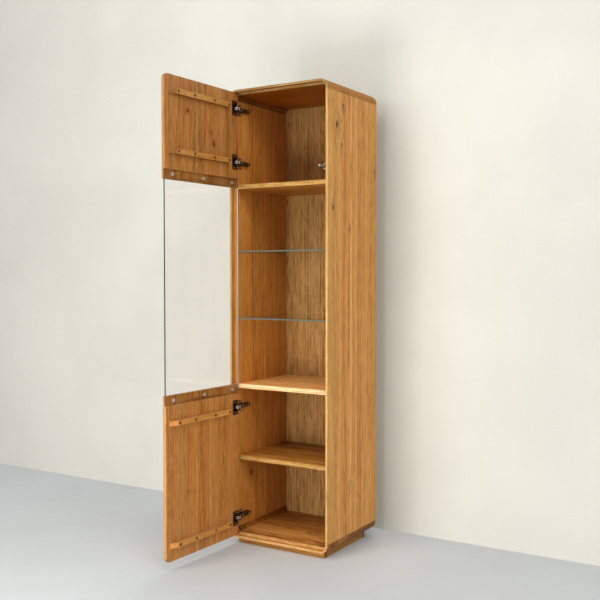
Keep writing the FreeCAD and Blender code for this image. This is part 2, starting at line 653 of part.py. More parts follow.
for level in LEVELS:
    height = f"hinge_{level}"
    flange = rounded_block(f"cup_flange_{level}", ("cup_a - flange_side", "cup_a + flange_side"),
                           ("inner_f", "inner_f + flange_thick"),
                           (f"{height} - flange_height / 2", f"{height} + flange_height / 2"), "flange_round")
    shell = cylinder(f"cup_shell_{level}", "-y", "cup_radius", "cup_depth", "cup_a", "inner_f", height)
    hollow = cylinder(f"cup_hollow_{level}", "y", "cup_radius - cup_wall",
                      "cup_depth - cup_wall + flange_thick + overrun",
                      "cup_a", "inner_f - cup_depth + cup_wall", height)
    whole = fuse(f"cup_whole_{level}", [flange, shell])
    pressing = cut(f"cup_pressing_{level}", whole, [hollow] + cup_screw_bores[level])
    ears = []
    for way, sign in WAYS.items():
        centre = f"{height} {sign} (link_half + ear_gap + ear_thick / 2)"
        blank = box(f"cup_ear_blank_{level}_{way}", ("cup_a - cup_radius", "cup_a - ear_end_set"),
                    ("inner_f - cup_depth", "inner_f - ear_sink"),
                    (f"{centre} - ear_thick / 2", f"{centre} + ear_thick / 2"))
        ears.append(common(f"cup_ear_{level}_{way}", blank, shell))
    keep(hang(fuse(f"hinge_cup_{level}", [pressing] + ears)), f"hinge_cup_{level}")
keep(hang(group("hinge_cup_screws", cup_screws)), "hinge_cup_screws")

ARM_OUTLINE = [
    ("arm_pin_x + arm_nose_radius", "arm_pin_y"),
    ("arm_pin_x + arm_nose_radius", "step_y - arm_neck"),
    ("arm_web_x + arm_bend_side", "step_y + arm_bend_start"),
    ("arm_web_x", "step_y + arm_bend_end"),
    ("arm_web_x", "step_y + arm_length"),
    ("arm_web_x - arm_deep", "step_y + arm_length"),
    ("arm_web_x - arm_deep", "step_y + arm_cheek_start"),
    ("arm_web_x - arm_cheek_side", "step_y + arm_cheek_middle"),
    ("arm_pin_x - arm_nose_radius", "step_y - arm_throat"),
    ("arm_pin_x - arm_nose_radius", "arm_pin_y"),
]
CHANNEL_OUTLINE = [
    ("arm_pin_x + arm_nose_radius + overrun", "arm_pin_y - overrun"),
    ("arm_pin_x + arm_nose_radius + overrun", "step_y - arm_neck - arm_wall / 2"),
    ("arm_pin_x + arm_nose_radius - arm_wall", "step_y - arm_neck - arm_wall / 2"),
    ("arm_web_x + arm_bend_side - arm_wall", "step_y + arm_bend_start - arm_wall / 2"),
    ("arm_web_x - arm_wall", "step_y + arm_bend_end"),
    ("arm_web_x - arm_wall", "step_y + arm_length + overrun"),
    ("arm_web_x - arm_deep - overrun", "step_y + arm_length + overrun"),
    ("arm_web_x - arm_deep - overrun", "arm_pin_y - overrun"),
]


def link_edge(inward, outward, across, sign):
    """A corner of the link's plan, given from the arm pin and offset to one side."""
    return (f"arm_pin_x - {inward} {sign} link_side * {across}_across_x",
            f"arm_pin_y - {outward} {sign} link_side * {across}_across_y")


LINK_OUTLINE = [
    link_edge("0", "0", "near", "+"),
    link_edge("link_bend_in", "link_bend_out", "bend", "+"),
    link_edge("link_end_in", "link_end_out", "far", "+"),
    link_edge("link_end_in", "link_end_out", "far", "-"),
    link_edge("link_bend_in", "link_bend_out", "bend", "-"),
    link_edge("0", "0", "near", "-"),
]

arm_pins = []
arm_screws = []
for level in LEVELS:
    height = f"hinge_{level}"
    pin_place = ("arm_pin_x", "arm_pin_y", f"{height} - arm_half")
    pin_bore = cylinder(f"arm_pin_bore_{level}", "z", "arm_pin_radius + fit", "2 * arm_half", *pin_place)
    arm_pins.append(cylinder(f"arm_pin_{level}", "z", "arm_pin_radius", "2 * arm_half", *pin_place))
    screw_bores = []
    for row in ("front", "rear"):
        name = f"arm_screw_{level}_{row}"
        place = ("arm_web_x", f"step_y + arm_{row}_screw", height)
        arm_screws.append(flat_screw(name, "-x", place, "arm_screw_head_radius", "arm_screw_head",
                                     "arm_screw_radius", "arm_wall + arm_screw_reach"))
        screw_bores.append(cylinder(name + "_bore", "-x", "arm_screw_radius + fit",
                                    "arm_wall + arm_screw_reach + fit", *place))

    profile = outline_pad(f"arm_profile_{level}", "z", ARM_OUTLINE, f"{height} - arm_half", "2 * arm_half")
    nose = cylinder(f"arm_nose_{level}", "z", "arm_nose_radius", "2 * arm_half", *pin_place)
    channel = outline_pad(f"arm_channel_{level}", "z", CHANNEL_OUTLINE, f"{height} - arm_half + arm_wall",
                          "2 * (arm_half - arm_wall)")
    whole = fuse(f"arm_whole_{level}", [profile, nose])
    keep(cut(f"hinge_arm_{level}", whole, [channel, pin_bore] + screw_bores), f"hinge_arm_{level}")

    base = box(f"plate_base_{level}", ("-inner_half", "plate_thick - inner_half"),
               ("step_y + plate_start", "step_y + plate_start + plate_length"),
               (f"{height} - plate_half", f"{height} + plate_half"))
    wing = box(f"plate_wing_{level}", ("-inner_half", "plate_thick - inner_half"),
               ("step_y + wing_at - wing_width / 2", "step_y + wing_at + wing_width / 2"),
               (f"{height} - wing_reach", f"{height} + wing_reach"))
    block = box(f"plate_block_{level}", ("-inner_half", "arm_web_x - arm_wall"),
                ("step_y + block_start", "step_y + block_start + block_length"),
                (f"{height} - block_half", f"{height} + block_half"))
    whole = fuse(f"plate_whole_{level}", [base, wing, block])
    keep(cut(f"hinge_plate_{level}", whole, plate_screw_bores[level] + screw_bores), f"hinge_plate_{level}")

    link_low = f"{height} - link_half"
    strap = outline_pad(f"link_strap_{level}", "z", LINK_OUTLINE, link_low, "2 * link_half")
    knuckle = cylinder(f"link_knuckle_{level}", "z", "link_knuckle", "2 * link_half",
                       "arm_pin_x", "arm_pin_y", link_low)
    end = cylinder(f"link_end_{level}", "z", "link_side", "2 * link_half",
                   "arm_pin_x - link_end_in", "arm_pin_y - link_end_out", link_low)
    whole = fuse(f"link_whole_{level}", [strap, knuckle, end])
    keep(cut(f"hinge_link_{level}", whole, [pin_bore]), f"hinge_link_{level}")
keep(group("hinge_arm_pins", arm_pins), "hinge_arm_pins")
keep(group("hinge_arm_screws", arm_screws), "hinge_arm_screws")
keep(group("hinge_plate_screws", plate_screws), "hinge_plate_screws")

# Push latch high on the right side, its plunger out

flange = box("latch_flange", ("inner_half - latch_flange_out", "inner_half"),
             ("latch_y", "latch_y + latch_flange_thick"),
             ("latch_height - latch_flange_half", "latch_height + latch_flange_half"))
foot = box("latch_foot", ("inner_half - latch_foot_thick", "inner_half"),
           ("latch_y", "latch_y + latch_foot_length"),
           ("latch_height - latch_flange_half", "latch_height + latch_flange_half"))
rod_bore = cylinder("latch_rod_bore", "y", "latch_bore_radius",
                    "latch_housing_length - latch_end_wall", "latch_x", "latch_y", "latch_height")
bracket = fuse("latch_bracket_whole", [flange, foot])
keep(cut("latch_bracket", bracket, [rod_bore] + latch_screw_bores), "latch_bracket")
shell = cylinder("latch_shell", "y", "latch_housing_radius", "latch_housing_length - latch_flange_thick",
                 "latch_x", "latch_y + latch_flange_thick", "latch_height")
keep(cut("latch_housing", shell, [rod_bore]), "latch_housing")
rod = cylinder("latch_rod", "y", "latch_rod_radius",
               "latch_y - latch_tip_y - latch_tip_length + latch_rod_hold",
               "latch_x", "latch_tip_y + latch_tip_length", "latch_height")
tip = cylinder("latch_tip", "y", "latch_tip_radius", "latch_tip_length",
               "latch_x", "latch_tip_y", "latch_height")
keep(fuse("latch_plunger", [rod, tip]), "latch_plunger")
keep(group("latch_screws", latch_screws), "latch_screws")

# Check everything and write each piece to its own file

doc.recompute()
for obj in doc.Objects:
    if "Invalid" in obj.State or "Error" in obj.State:
        raise RuntimeError(f"{obj.Name} did not build")

os.makedirs("parts", exist_ok=True)
for obj in parts:
    shape = obj.Shape
    if shape.isNull() or not shape.isValid() or not shape.Solids:
        raise RuntimeError(f"{obj.Label} has no valid solid")
    for solid in shape.Solids:
        if not solid.isClosed() or solid.Volume <= 0:
            raise RuntimeError(f"{obj.Label} has an open or empty solid")
    shape.exportStep(f"parts/{obj.Label}.step")
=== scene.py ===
import json
import math

import bpy
from mathutils import Matrix, Vector


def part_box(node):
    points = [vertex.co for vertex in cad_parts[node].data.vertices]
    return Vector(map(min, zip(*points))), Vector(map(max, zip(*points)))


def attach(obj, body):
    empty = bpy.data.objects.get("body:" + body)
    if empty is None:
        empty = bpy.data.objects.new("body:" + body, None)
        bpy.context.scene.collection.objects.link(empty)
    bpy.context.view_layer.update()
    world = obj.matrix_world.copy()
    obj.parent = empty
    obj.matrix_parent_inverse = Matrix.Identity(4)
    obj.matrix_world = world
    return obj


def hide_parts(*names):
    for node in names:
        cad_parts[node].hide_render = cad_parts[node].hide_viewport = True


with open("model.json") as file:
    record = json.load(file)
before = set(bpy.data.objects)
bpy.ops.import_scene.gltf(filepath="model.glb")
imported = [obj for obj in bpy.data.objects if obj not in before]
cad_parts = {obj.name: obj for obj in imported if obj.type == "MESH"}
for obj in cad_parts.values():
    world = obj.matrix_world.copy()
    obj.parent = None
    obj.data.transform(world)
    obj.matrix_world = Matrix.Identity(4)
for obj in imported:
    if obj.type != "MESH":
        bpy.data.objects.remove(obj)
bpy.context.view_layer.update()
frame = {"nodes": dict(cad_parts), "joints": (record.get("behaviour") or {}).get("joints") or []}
NODES = frame["nodes"]
LEVELS = ("top", "second", "third", "bottom")

# Places read from the frame
DOOR_SWING = next(joint for joint in frame["joints"] if joint["name"] == "door_swing")
DOOR_OPEN = math.radians(max(DOOR_SWING["range_deg"]))
DOOR_FACE = (math.sin(DOOR_OPEN), math.cos(DOOR_OPEN), 0)
JOINT_LEVELS = tuple(corner.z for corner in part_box("side_panel_right"))

# Screws. A share is of the radius or the height of the head.
FASTENING_REACH = 0.0085
SCREW_SHANK = 0.002
SCREW_TURN = 0.65
SCREW_POINT_SHARE = 0.2
SUNK_EASE_SHARE = 0.08
RAISED_EASE_SHARE = 0.55
RECESS_DEPTH_SHARE = 0.75
RECESS_LENGTH_SHARE = 1.15
RECESS_WIDTH_SHARE = 0.26
RECESS_FLOOR_SHARE = 0.55

# Caps over the screws of the pane
CAP_RADIUS = 0.0048
CAP_WALL = 0.001
CAP_DOME_SHARE = 0.6

# Slot through the bend of a hinge link, off the link's middle
SLOT_OFF = (0.002, -0.0052, 0)
SLOT_SIZE = (0.010, 0.0085, 0.0042)

# How far edges are rounded over
HINGE_EASE = {"cup": 0.0003, "arm": 0.0003, "plate": 0.0004, "link": 0.0003}
BRACKET_EASE = 0.0005
PLUNGER_EASE = 0.0006
GLASS_EASE = 0.0008
SHELF_EASE = 0.0015

# Angles in degrees, and how near counts as the same place
FLAT_ANGLE = 1
BEND_ANGLE = 30
SCREW_ANGLE = 35
SMOOTH_ANGLE = 40
MERGE = 0.000001
CLOSE = 0.00005

# How upright a face's normal is: at least for a level face, and at most for the edge of a glass shelf
LEVEL_SHARE = 0.9
EDGE_LEVEL_SHARE = 0.5

# Camera, at the photograph's viewing angle
CAMERA_PLACE = (2.055704, -3.483395, 1.197520)
CAMERA_YAW = 0.554975
CAMERA_PITCH = -0.032856
CAMERA_LENS = 52.305
CAMERA_SENSOR = 36.0
CAMERA_SHIFT = (-0.003942, 0.003807)

# Room: a pale floor and a pale wall behind the cabinet
WALL_Y = 0.16
ROOM_REACH = 14.0
ROOM_TOP = 6.0
WALL_COLOUR = (0.67, 0.67, 0.61)
FLOOR_COLOUR = (0.61, 0.64, 0.64)
CLOUD_SHARE = 0.93
ROOM_RELIEF = 0.001
WORLD_COLOUR = (0.97, 0.98, 1.0)
WORLD_STRENGTH = 0.42
BACKGROUND_COLOUR = (0.83, 0.82, 0.77)

# Lamps, all aimed at one point. Only a mirrored one shows in glass and metal.
AIM = (-0.1, -0.2, 0.9)
LAMP_COLOUR = (1.0, 0.98, 0.95)
LAMPS = {
    "low": {"place": (-0.1, -2.8, 0.35), "size": 1.0, "power": 51.0, "mirrored": False},
    "front_left": {"place": (-1.6, -4.8, 2.4), "size": 1.8, "power": 60.0, "mirrored": False},
    "overhead": {"place": (-0.4, -2.8, 4.2), "size": 2.0, "power": 46.0, "mirrored": True},
    "right": {"place": (6.5, -3.5, 2.8), "size": 3.0, "power": 84.0, "mirrored": False},
    "high_right": {"place": (2.8, -3.0, 4.4), "size": 1.3, "power": 52.0, "mirrored": False},
    "behind": {"place": (-1.2, 3.8, 2.6), "size": 2.4, "power": 60.0, "mirrored": False},
}

# Which way the pattern of a board lies: rows give its across, depth and along in the cabinet's axes
TURNS = {
    "upright_side": ((0, 1, 0), (-1, 0, 0), (0, 0, 1)),
    "upright_back": ((1, 0, 0), (0, 1, 0), (0, 0, 1)),
    "shelf": ((0, 1, 0), (0, 0, 1), (1, 0, 0)),
    "rail_across": ((0, 0, 1), (0, -1, 0), (1, 0, 0)),
    "rail_deep": ((0, 0, 1), (1, 0, 0), (0, 1, 0)),
}

# Tints, by which the oak's colour is multiplied
NO_TINT = (1.0, 1.0, 1.0, 1)
END_TINT = (0.60, 0.50, 0.44, 1)
INNER_END_TINT = (0.52, 0.42, 0.34, 1)
EDGE_TINT = (0.76, 0.92, 1.40, 1)
SAPWOOD_TINT = (1.30, 1.45, 1.80, 1)
WARM_STAVE = (1.04, 0.98, 0.92, 1)
COOL_STAVE = (0.96, 1.01, 1.06, 1)
# Painted shade on faces that look down, as if in shadow: the top's underside and rebate, and the upper
# shelf's underside
TOP_UNDERSIDE_PAINTED_SHADE = (0.58, 0.32, 0.04, 1)
SHELF_UNDERSIDE_PAINTED_SHADE = (0.60, 0.48, 0.34, 1)
DOOR_TINT = (1.0, 0.94, 1.28, 1)
BATTEN_TINT = (0.98, 0.96, 1.18, 1)
# Painted shade on the battens' undersides
BATTEN_UNDERSIDE_PAINTED_SHADE = (0.50, 0.34, 0.18, 1)
# Tints of the battens' bevelled tips: darker end grain, and on the top two also painted shade, as the lower
# two take more light
BATTEN_TIP_GRAIN_AND_SHADE = {
    "top": (0.46, 0.38, 0.42, 1),
    "second": (0.46, 0.38, 0.42, 1),
    "third": (0.92, 0.92, 0.96, 1),
    "bottom": (0.92, 0.92, 0.96, 1),
}

# Colours of the oak's marks
FLECK_COLOUR = (0.74, 0.44, 0.16, 1)
PORE_COLOUR = (0.17, 0.065, 0.018, 1)
KNOT_COLOUR = (0.075, 0.026, 0.010, 1)
GLUE_COLOUR = (0.12, 0.045, 0.014, 1)
WORN_OAK_COLOUR = (0.86, 0.57, 0.26, 1)

# Tones that the grain runs through
OAK_TONES = {
    "Dark": (0.39, 0.146, 0.019, 1),
    "Middle": (0.60, 0.270, 0.047, 1),
    "Light": (0.75, 0.386, 0.091, 1),
}
# Painted light: paler tones for the lower shelf, whose top is painted as if lit from above
PAINTED_LIGHT_SHELF_TONES = {
    "Dark": (0.45, 0.19, 0.040, 1),
    "Middle": (0.68, 0.33, 0.085, 1),
    "Light": (0.80, 0.46, 0.150, 1),
}
VENEER_TONES = {
    "Dark": (0.17, 0.082, 0.019, 1),
    "Middle": (0.38, 0.215, 0.065, 1),
    "Light": (0.53, 0.330, 0.122, 1),
}
BEECH_TONES = {
    "Dark": (0.50, 0.33, 0.19, 1),
    "Middle": (0.66, 0.47, 0.29, 1),
    "Light": (0.74, 0.56, 0.36, 1),
}

# Sizes in the oak's pattern. A seed moves it by so many staves.
SEED_STEP = 7.13
STAVE_WIDTH = 0.07
KNOT_SIZE = 0.01
STRIPE_WIDTH = 0.006
RING_WIDTH = 0.0032
RING_WANDER = 0.026
GRAIN_WAVE = 0.022
HEART_SPREAD = 0.16
HEART_DEPTH = 0.02
HEART_DEPTH_SPREAD = 0.09
LOG_SHIFT = 9.0
GLUE_LINE = (0.00010, 0.0004)
SEAM_REACH = 0.004
# Painted light and shade: a board with a falloff goes from lighter to darker over this span, from front to
# back
PAINTED_FALLOFF_SPAN = (-0.34, 0.05)
INNER_SPAN = (0.235, 0.240)
STAIN_SPAN = (0.0055, 0.0080)
JOINT_SPAN = (0.0012, 0.0030)
STRIPE_WAVER = 0.008
VEIN_WAVER = 0.035
WORN_OAK_REACH = 0.0018
OAK_RELIEF = 0.0004

# Patterns along the grain: scale across, deep and along, then detail and roughness
OAK_LAYERS = {
    "wander": ((7.0, 7.0, 1.1), 2.0, 0.5),
    "wave": ((8.0, 8.0, 5.5), 2.0, 0.5),
    "broad": ((70.0, 70.0, 0.9), 3.0, 0.65),
    "figure": ((95.0, 95.0, 15.0), 4.0, 0.7),
    "streak": ((240.0, 240.0, 3.2), 3.0, 0.7),
    "fibre": ((760.0, 760.0, 13.0), 2.0, 0.6),
    "pore": ((1500.0, 1500.0, 70.0), 1.0, 0.5),
    "fleck": ((170.0, 170.0, 46.0), 2.0, 0.6),
    "knot rim": ((170.0, 170.0, 75.0), 3.0, 0.7),
    "knot streaks": ((260.0, 260.0, 22.0), 3.0, 0.6),
    "stripe waver": ((20.0, 20.0, 2.6), 4.0, 0.65),
    "vein gaps": ((30.0, 30.0, 9.0), 2.0, 0.5),
}

# How much each pattern lightens or darkens the wood
SHADE_WEIGHTS = {"rings": 1.05, "broad": 0.70, "figure": 1.45, "streak": 0.90, "fibre": 0.55}

# Metals, plastics and glass
METAL_DULLING = (0.72, 0.70, 0.67, 1)
# The hinge cups' near-white rim: partly worn plating, partly a painted highlight where the rim catches the
# light
CUP_RIM_HIGHLIGHT_AND_WEAR = (0.90, 0.86, 0.78, 1)
CUP_RIM_WEAR_AND_HIGHLIGHT_REACH = 0.0016
METAL_EDGE_REACH = 0.0005
MOUTH_SPAN = (0.0066, 0.0080)
MOUTH_COLOUR = (0.012, 0.011, 0.010, 1)
METAL_RELIEF = 0.0001
PLASTIC_RELIEF = 0.0001
GLASS_RELIEF = 0.0002
GLASS_FACE_TINT = (1.0, 1.0, 1.0, 1)
GLASS_EDGE_TINT = (0.72, 0.88, 0.82, 1)
PANE_BENDING = 1.36
SHELF_BENDING = 1.5

# Boards. A knot is across, along and size, and a stripe of sapwood or a dark vein is across and width.
# Joints are the heights of dark joint lines. A painted falloff makes a board lighter in front and darker
# behind, as painted light and shade.
# A board's painted light level lightens or darkens all of it, as painted light and shade: the recessed plinth
# front is darkest, the right side lightest.
BOARDS = {
    "side_panel_right": {
        "turn": "upright_side", "seed": 3.0, "width": 0.070, "painted_light_level": 1.22, "joints": JOINT_LEVELS,
        "tint": (1.0, 1.0, 1.16, 1),
        "knots": [(-0.297, 1.822, 0.016), (-0.271, 1.840, 0.008), (-0.254, 1.740, 0.012),
                  (-0.245, 1.904, 0.009), (-0.327, 1.474, 0.010), (-0.186, 1.389, 0.007),
                  (0.048, 1.656, 0.008)],
        "stripes": [(-0.026, 0.007), (-0.172, 0.006)],
    },
    "side_panel_left": {
        "turn": "upright_side", "seed": 5.0, "width": 0.080, "painted_light_level": 0.84, "joints": JOINT_LEVELS,
        "tint": (1.04, 0.98, 1.06, 1), "painted_falloff": 0.16,
        "knots": [(-0.241, 0.290, 0.014)], "stripes": [(-0.211, 0.005), (-0.130, 0.006)],
    },
    "back_panel": {
        "turn": "upright_back", "seed": 47.0, "width": 0.11, "tones": VENEER_TONES, "contrast": 1.25,
        "aside": 0.22, "painted_light_level": 0.97, "tint": (1.0, 0.97, 1.03, 1),
    },
    "door_panel_upper": {
        "turn": "upright_side", "seed": 8.0, "width": 0.072, "painted_light_level": 0.80, "contrast": 1.15,
        "tint": DOOR_TINT, "stripes": [(-0.640, 0.006)],
        "knots": [(-0.698, 1.860, 0.013), (-0.530, 1.746, 0.013), (-0.541, 1.793, 0.006)],
    },
    "door_panel_lower": {
        "turn": "upright_side", "seed": 11.0, "width": 0.066, "painted_light_level": 0.89, "tint": DOOR_TINT,
        "knots": [(-0.700, 0.300, 0.006)], "stripes": [(-0.649, 0.008), (-0.561, 0.006)],
    },
    # The top's end tint, lighter than its face, paints light on its ends and lifts them out of the shade that
    # its low light level paints
    "top_panel": {
        "turn": "shelf", "seed": 14.0, "width": 0.085, "painted_light_level": 0.68, "joints": JOINT_LEVELS,
        "contrast": 1.7, "end_grain_and_painted_light": (1.25, 1.10, 1.05, 1), "underside_painted_shade": TOP_UNDERSIDE_PAINTED_SHADE,
    },
    "bottom_panel": {
        "turn": "shelf", "seed": 17.0, "width": 0.085, "joints": JOINT_LEVELS, "contrast": 1.9,
        "painted_falloff": 0.20, "painted_light_level": 0.90, "tint": (0.98, 0.93, 1.12, 1),
        "knots": [(-0.200, 0.060, 0.012)], "veins": [(-0.330, 0.014), (-0.300, 0.008), (-0.180, 0.007)],
    },
    "upper_shelf": {
        "turn": "shelf", "seed": 20.0, "width": 0.060, "painted_light_level": 1.05, "contrast": 1.4,
        "underside_painted_shade": SHELF_UNDERSIDE_PAINTED_SHADE,
    },
    # The lower shelf's paler tones and lightening, cooler tint paint light on its top; its falloff paints
    # shade behind
    "lower_shelf": {
        "turn": "shelf", "seed": 23.0, "width": 0.060, "contrast": 1.5, "tones": PAINTED_LIGHT_SHELF_TONES,
        "tint": (1.18, 1.26, 1.54, 1), "painted_falloff": 0.22,
    },
    "loose_shelf": {
        "turn": "shelf", "seed": 26.0, "width": 0.055, "painted_light_level": 0.64, "contrast": 2.1, "painted_falloff": 0.32,
        "veins": [(-0.300, 0.008)],
    },
    "plinth_front": {"turn": "rail_across", "seed": 29.0, "width": 0.20, "painted_light_level": 0.49},
    "plinth_rear": {"turn": "rail_across", "seed": 31.0, "width": 0.20, "painted_light_level": 0.75},
    "plinth_left": {"turn": "rail_deep", "seed": 33.0, "width": 0.20, "painted_light_level": 0.65},
    "plinth_right": {"turn": "rail_deep", "seed": 35.0, "width": 0.20, "painted_light_level": 0.57},
}
for level, seed in zip(LEVELS, (37.0, 39.0, 41.0, 43.0)):
    BOARDS["door_batten_" + level] = {
        "turn": "rail_deep", "seed": seed, "width": 0.30, "tint": BATTEN_TINT,
        "end_grain_and_painted_light": BATTEN_TIP_GRAIN_AND_SHADE[level], "underside_painted_shade": BATTEN_UNDERSIDE_PAINTED_SHADE,
    }

# Screws: the way their heads face, the radius and height of a head, and whether it is sunk
SCREWS = {
    "batten_screws": {
        "axis": DOOR_FACE, "radius": 0.004, "head": 0.0025, "sunk": True,
        "body": "door", "slot": "dark_screw",
    },
    "back_panel_screws": {
        "axis": (0, 1, 0), "radius": 0.004, "head": 0.0025, "sunk": True,
        "body": "case", "slot": "dark_screw",
    },
    "hinge_cup_screws": {
        "axis": DOOR_FACE, "radius": 0.004, "head": 0.0014, "sunk": False,
        "body": "door", "slot": "bright_nickel",
    },
    "hinge_plate_screws": {
        "axis": (1, 0, 0), "radius": 0.004, "head": 0.0014, "sunk": False,
        "body": "case", "slot": "bright_nickel",
    },
    "hinge_arm_screws": {
        "axis": (1, 0, 0), "radius": 0.0034, "head": 0.0008, "sunk": False,
        "body": "case", "slot": "bright_nickel",
    },
    "latch_screws": {
        "axis": (-1, 0, 0), "radius": 0.003, "head": 0.0014, "sunk": False,
        "body": "case", "slot": "bright_nickel",
    },
}


# Places read from the construction

def fastenings(node, axis):
    """Where the heads of a node's screws or caps are along an axis out of the wood, and how long they are."""
    axis = Vector(axis)
    found = []
    for point in (vertex.co for vertex in NODES[node].data.vertices):
        ahead = point.dot(axis)
        flat = point - axis * ahead
        for one in found:
            if (flat - one["first"]).length < FASTENING_REACH:
                one["ahead"] += [ahead]
                one["flats"] += [flat]
                break
        else:
            found.append({"first": flat, "ahead": [ahead], "flats": [flat]})
    heads = []
    for one in found:
        low = Vector(map(min, *one["flats"]))
        high = Vector(map(max, *one["flats"]))
        heads.append((low + high) / 2 + axis * max(one["ahead"]))
    return heads, max(found[0]["ahead"]) - min(found[0]["ahead"])


def stained_places(board):
    """The heads of the screws in a batten, round which the oak is stained. Other boards have none."""
    if not board.startswith("door_batten"):
        return []
    low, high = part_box(board)
    return [place for place in fastenings("batten_screws", DOOR_FACE)[0] if low.z < place.z < high.z]


def latch_mouth():
    """The middle of the latch's front, where the rod comes out."""
    low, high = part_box("latch_housing")
    return Vector(((low.x + high.x) / 2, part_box("latch_bracket")[0].y, (low.z + high.z) / 2))


# Node trees

def feed(tree, node, inputs):
    """Sets a node's inputs. Each is a value or another node's output."""
    for name, value in inputs.items():
        if isinstance(value, bpy.types.NodeSocket):
            tree.links.new(value, node.inputs[name])
        else:
            node.inputs[name].default_value = value


def wire(tree, kind, inputs=None, **settings):
    """Adds a shader node with its settings and inputs."""
    node = tree.nodes.new("ShaderNode" + kind)
    for name, value in settings.items():
        setattr(node, name, value)
    feed(tree, node, inputs or {})
    return node


def maths(tree, operation, *values):
    return wire(tree, "Math", dict(enumerate(values)), operation=operation).outputs[0]


def highest(tree, first, second):
    return maths(tree, "MAXIMUM", first, second)


def size_of(tree, value):
    return maths(tree, "ABSOLUTE", value)


def span(tree, value, low, high, new_low=0.0, new_high=1.0):
    """Carries a value from one span to another, smoothly and held at its ends."""
    given = {"Value": value, "From Min": low, "From Max": high, "To Min": new_low, "To Max": new_high}
    return wire(tree, "MapRange", given, interpolation_type="SMOOTHSTEP").outputs["Result"]


def noise(tree, place, scale, detail=2.0, roughness=0.5):
    given = {"Vector": place, "Scale": scale, "Detail": detail, "Roughness": roughness}
    return wire(tree, "TexNoise", given).outputs["Fac"]


def stretch(tree, place, by):
    return wire(tree, "VectorMath", {0: place, 1: by}, operation="MULTIPLY").outputs[0]


def split(tree, vector):
    return wire(tree, "SeparateXYZ", {0: vector}).outputs


def joined(tree, first, second, third):
    return wire(tree, "CombineXYZ", {0: first, 1: second, 2: third}).outputs[0]


def distance(tree, place, point):
    return wire(tree, "VectorMath", {0: place, 1: point}, operation="DISTANCE").outputs["Value"]


def oak_layer(tree, place, name):
    """One pattern along the grain, as OAK_LAYERS gives it."""
    scale, detail, roughness = OAK_LAYERS[name]
    return noise(tree, stretch(tree, place, scale), 1.0, detail, roughness)


def mixed(tree, share, first, second, how="MIX"):
    node = wire(tree, "Mix", {0: share, 6: first, 7: second}, data_type="RGBA", blend_type=how)
    return node.outputs[2]


def tinted(tree, colour, tint):
    return mixed(tree, 1.0, colour, tint, "MULTIPLY")


def new_group(name, inputs, outputs):
    """An empty node group. The value of an input gives its kind, and one without a value is a vector."""
    tree = bpy.data.node_groups.new(name, "ShaderNodeTree")
    for label, value in inputs.items():
        kind = "Vector" if value is None else "Color" if isinstance(value, tuple) else "Float"
        socket = tree.interface.new_socket(label, in_out="INPUT", socket_type="NodeSocket" + kind)
        if value is not None:
            socket.default_value = value
    for label, kind in outputs.items():
        tree.interface.new_socket(label, in_out="OUTPUT", socket_type="NodeSocket" + kind)
    return tree, tree.nodes.new("NodeGroupInput").outputs, tree.nodes.new("NodeGroupOutput")


def place_group(tree, group, inputs):
    node = tree.nodes.new("ShaderNodeGroup")
    node.node_tree = group
    feed(tree, node, inputs)
    return node.outputs


def make_knot_group():
    """A knot that runs through a board: the grain bends round it, and its heart is dark."""
    inputs = {"Place": None, "Across": 0.0, "Along": 0.0, "Size": KNOT_SIZE}
    tree, given, out = new_group("knot", inputs, {"Place": "Vector", "Mask": "Float"})
    parts = split(tree, given["Place"])
    aside = maths(tree, "SUBTRACT", parts[0], given["Across"])
    above = maths(tree, "MULTIPLY", maths(tree, "SUBTRACT", parts[2], given["Along"]), 0.55)
    rough = maths(tree, "MULTIPLY_ADD", oak_layer(tree, given["Place"], "knot rim"), 3.0, -0.6)
    square = maths(tree, "ADD", maths(tree, "POWER", aside, 2.0), maths(tree, "POWER", above, 2.0))
    share = maths(tree, "DIVIDE", maths(tree, "SQRT", square), given["Size"])
    pull = span(tree, share, 0.0, 4.5, 0.85, 0.0)
    bent = maths(tree, "SUBTRACT", parts[0], maths(tree, "MULTIPLY", aside, pull))
    tree.links.new(joined(tree, bent, parts[1], parts[2]), out.inputs["Place"])
    heart = span(tree, maths(tree, "MULTIPLY", share, rough), 0.35, 0.60, 1.0, 0.0)
    streaks = span(tree, oak_layer(tree, given["Place"], "knot streaks"), 0.45, 0.60)
    halo = maths(tree, "MULTIPLY", span(tree, share, 0.6, 3.2, 0.50, 0.0), streaks)
    tree.links.new(highest(tree, heart, halo), out.inputs["Mask"])
    return tree


def make_stripe_group():
    """A narrow stripe along a board, such as pale sapwood or a dark vein, with a wavering edge."""
    inputs = {"Place": None, "Across": 0.0, "Width": STRIPE_WIDTH, "Waver": STRIPE_WAVER}
    tree, given, out = new_group("stripe", inputs, {"Mask": "Float"})
    waver = maths(tree, "SUBTRACT", oak_layer(tree, given["Place"], "stripe waver"), 0.5)
    aside = maths(tree, "SUBTRACT", split(tree, given["Place"])[0], given["Across"])
    aside = maths(tree, "ADD", aside, maths(tree, "MULTIPLY", waver, given["Waver"]))
    share = maths(tree, "DIVIDE", size_of(tree, aside), given["Width"])
    tree.links.new(span(tree, share, 0.2, 1.0, 1.0, 0.0), out.inputs["Mask"])
    return tree


def stave_cells(tree, given, across):
    """The luck of the stave that a point is in, the point's place in it and its distance from the seam."""
    count = maths(tree, "DIVIDE", across, given["Stave width"])
    count = maths(tree, "MULTIPLY_ADD", given["Seed"], SEED_STEP, count)
    cell = {"W": count, "Scale": 1.0, "Randomness": 0.6}
    stave = wire(tree, "TexVoronoi", cell, voronoi_dimensions="1D", feature="F1").outputs
    seam = wire(tree, "TexVoronoi", cell, voronoi_dimensions="1D", feature="DISTANCE_TO_EDGE").outputs
    luck = wire(tree, "SeparateColor", {0: stave["Color"]}).outputs
    inside = maths(tree, "MULTIPLY", maths(tree, "SUBTRACT", count, stave["W"]), given["Stave width"])
    return luck, inside, maths(tree, "MULTIPLY", seam["Distance"], given["Stave width"])


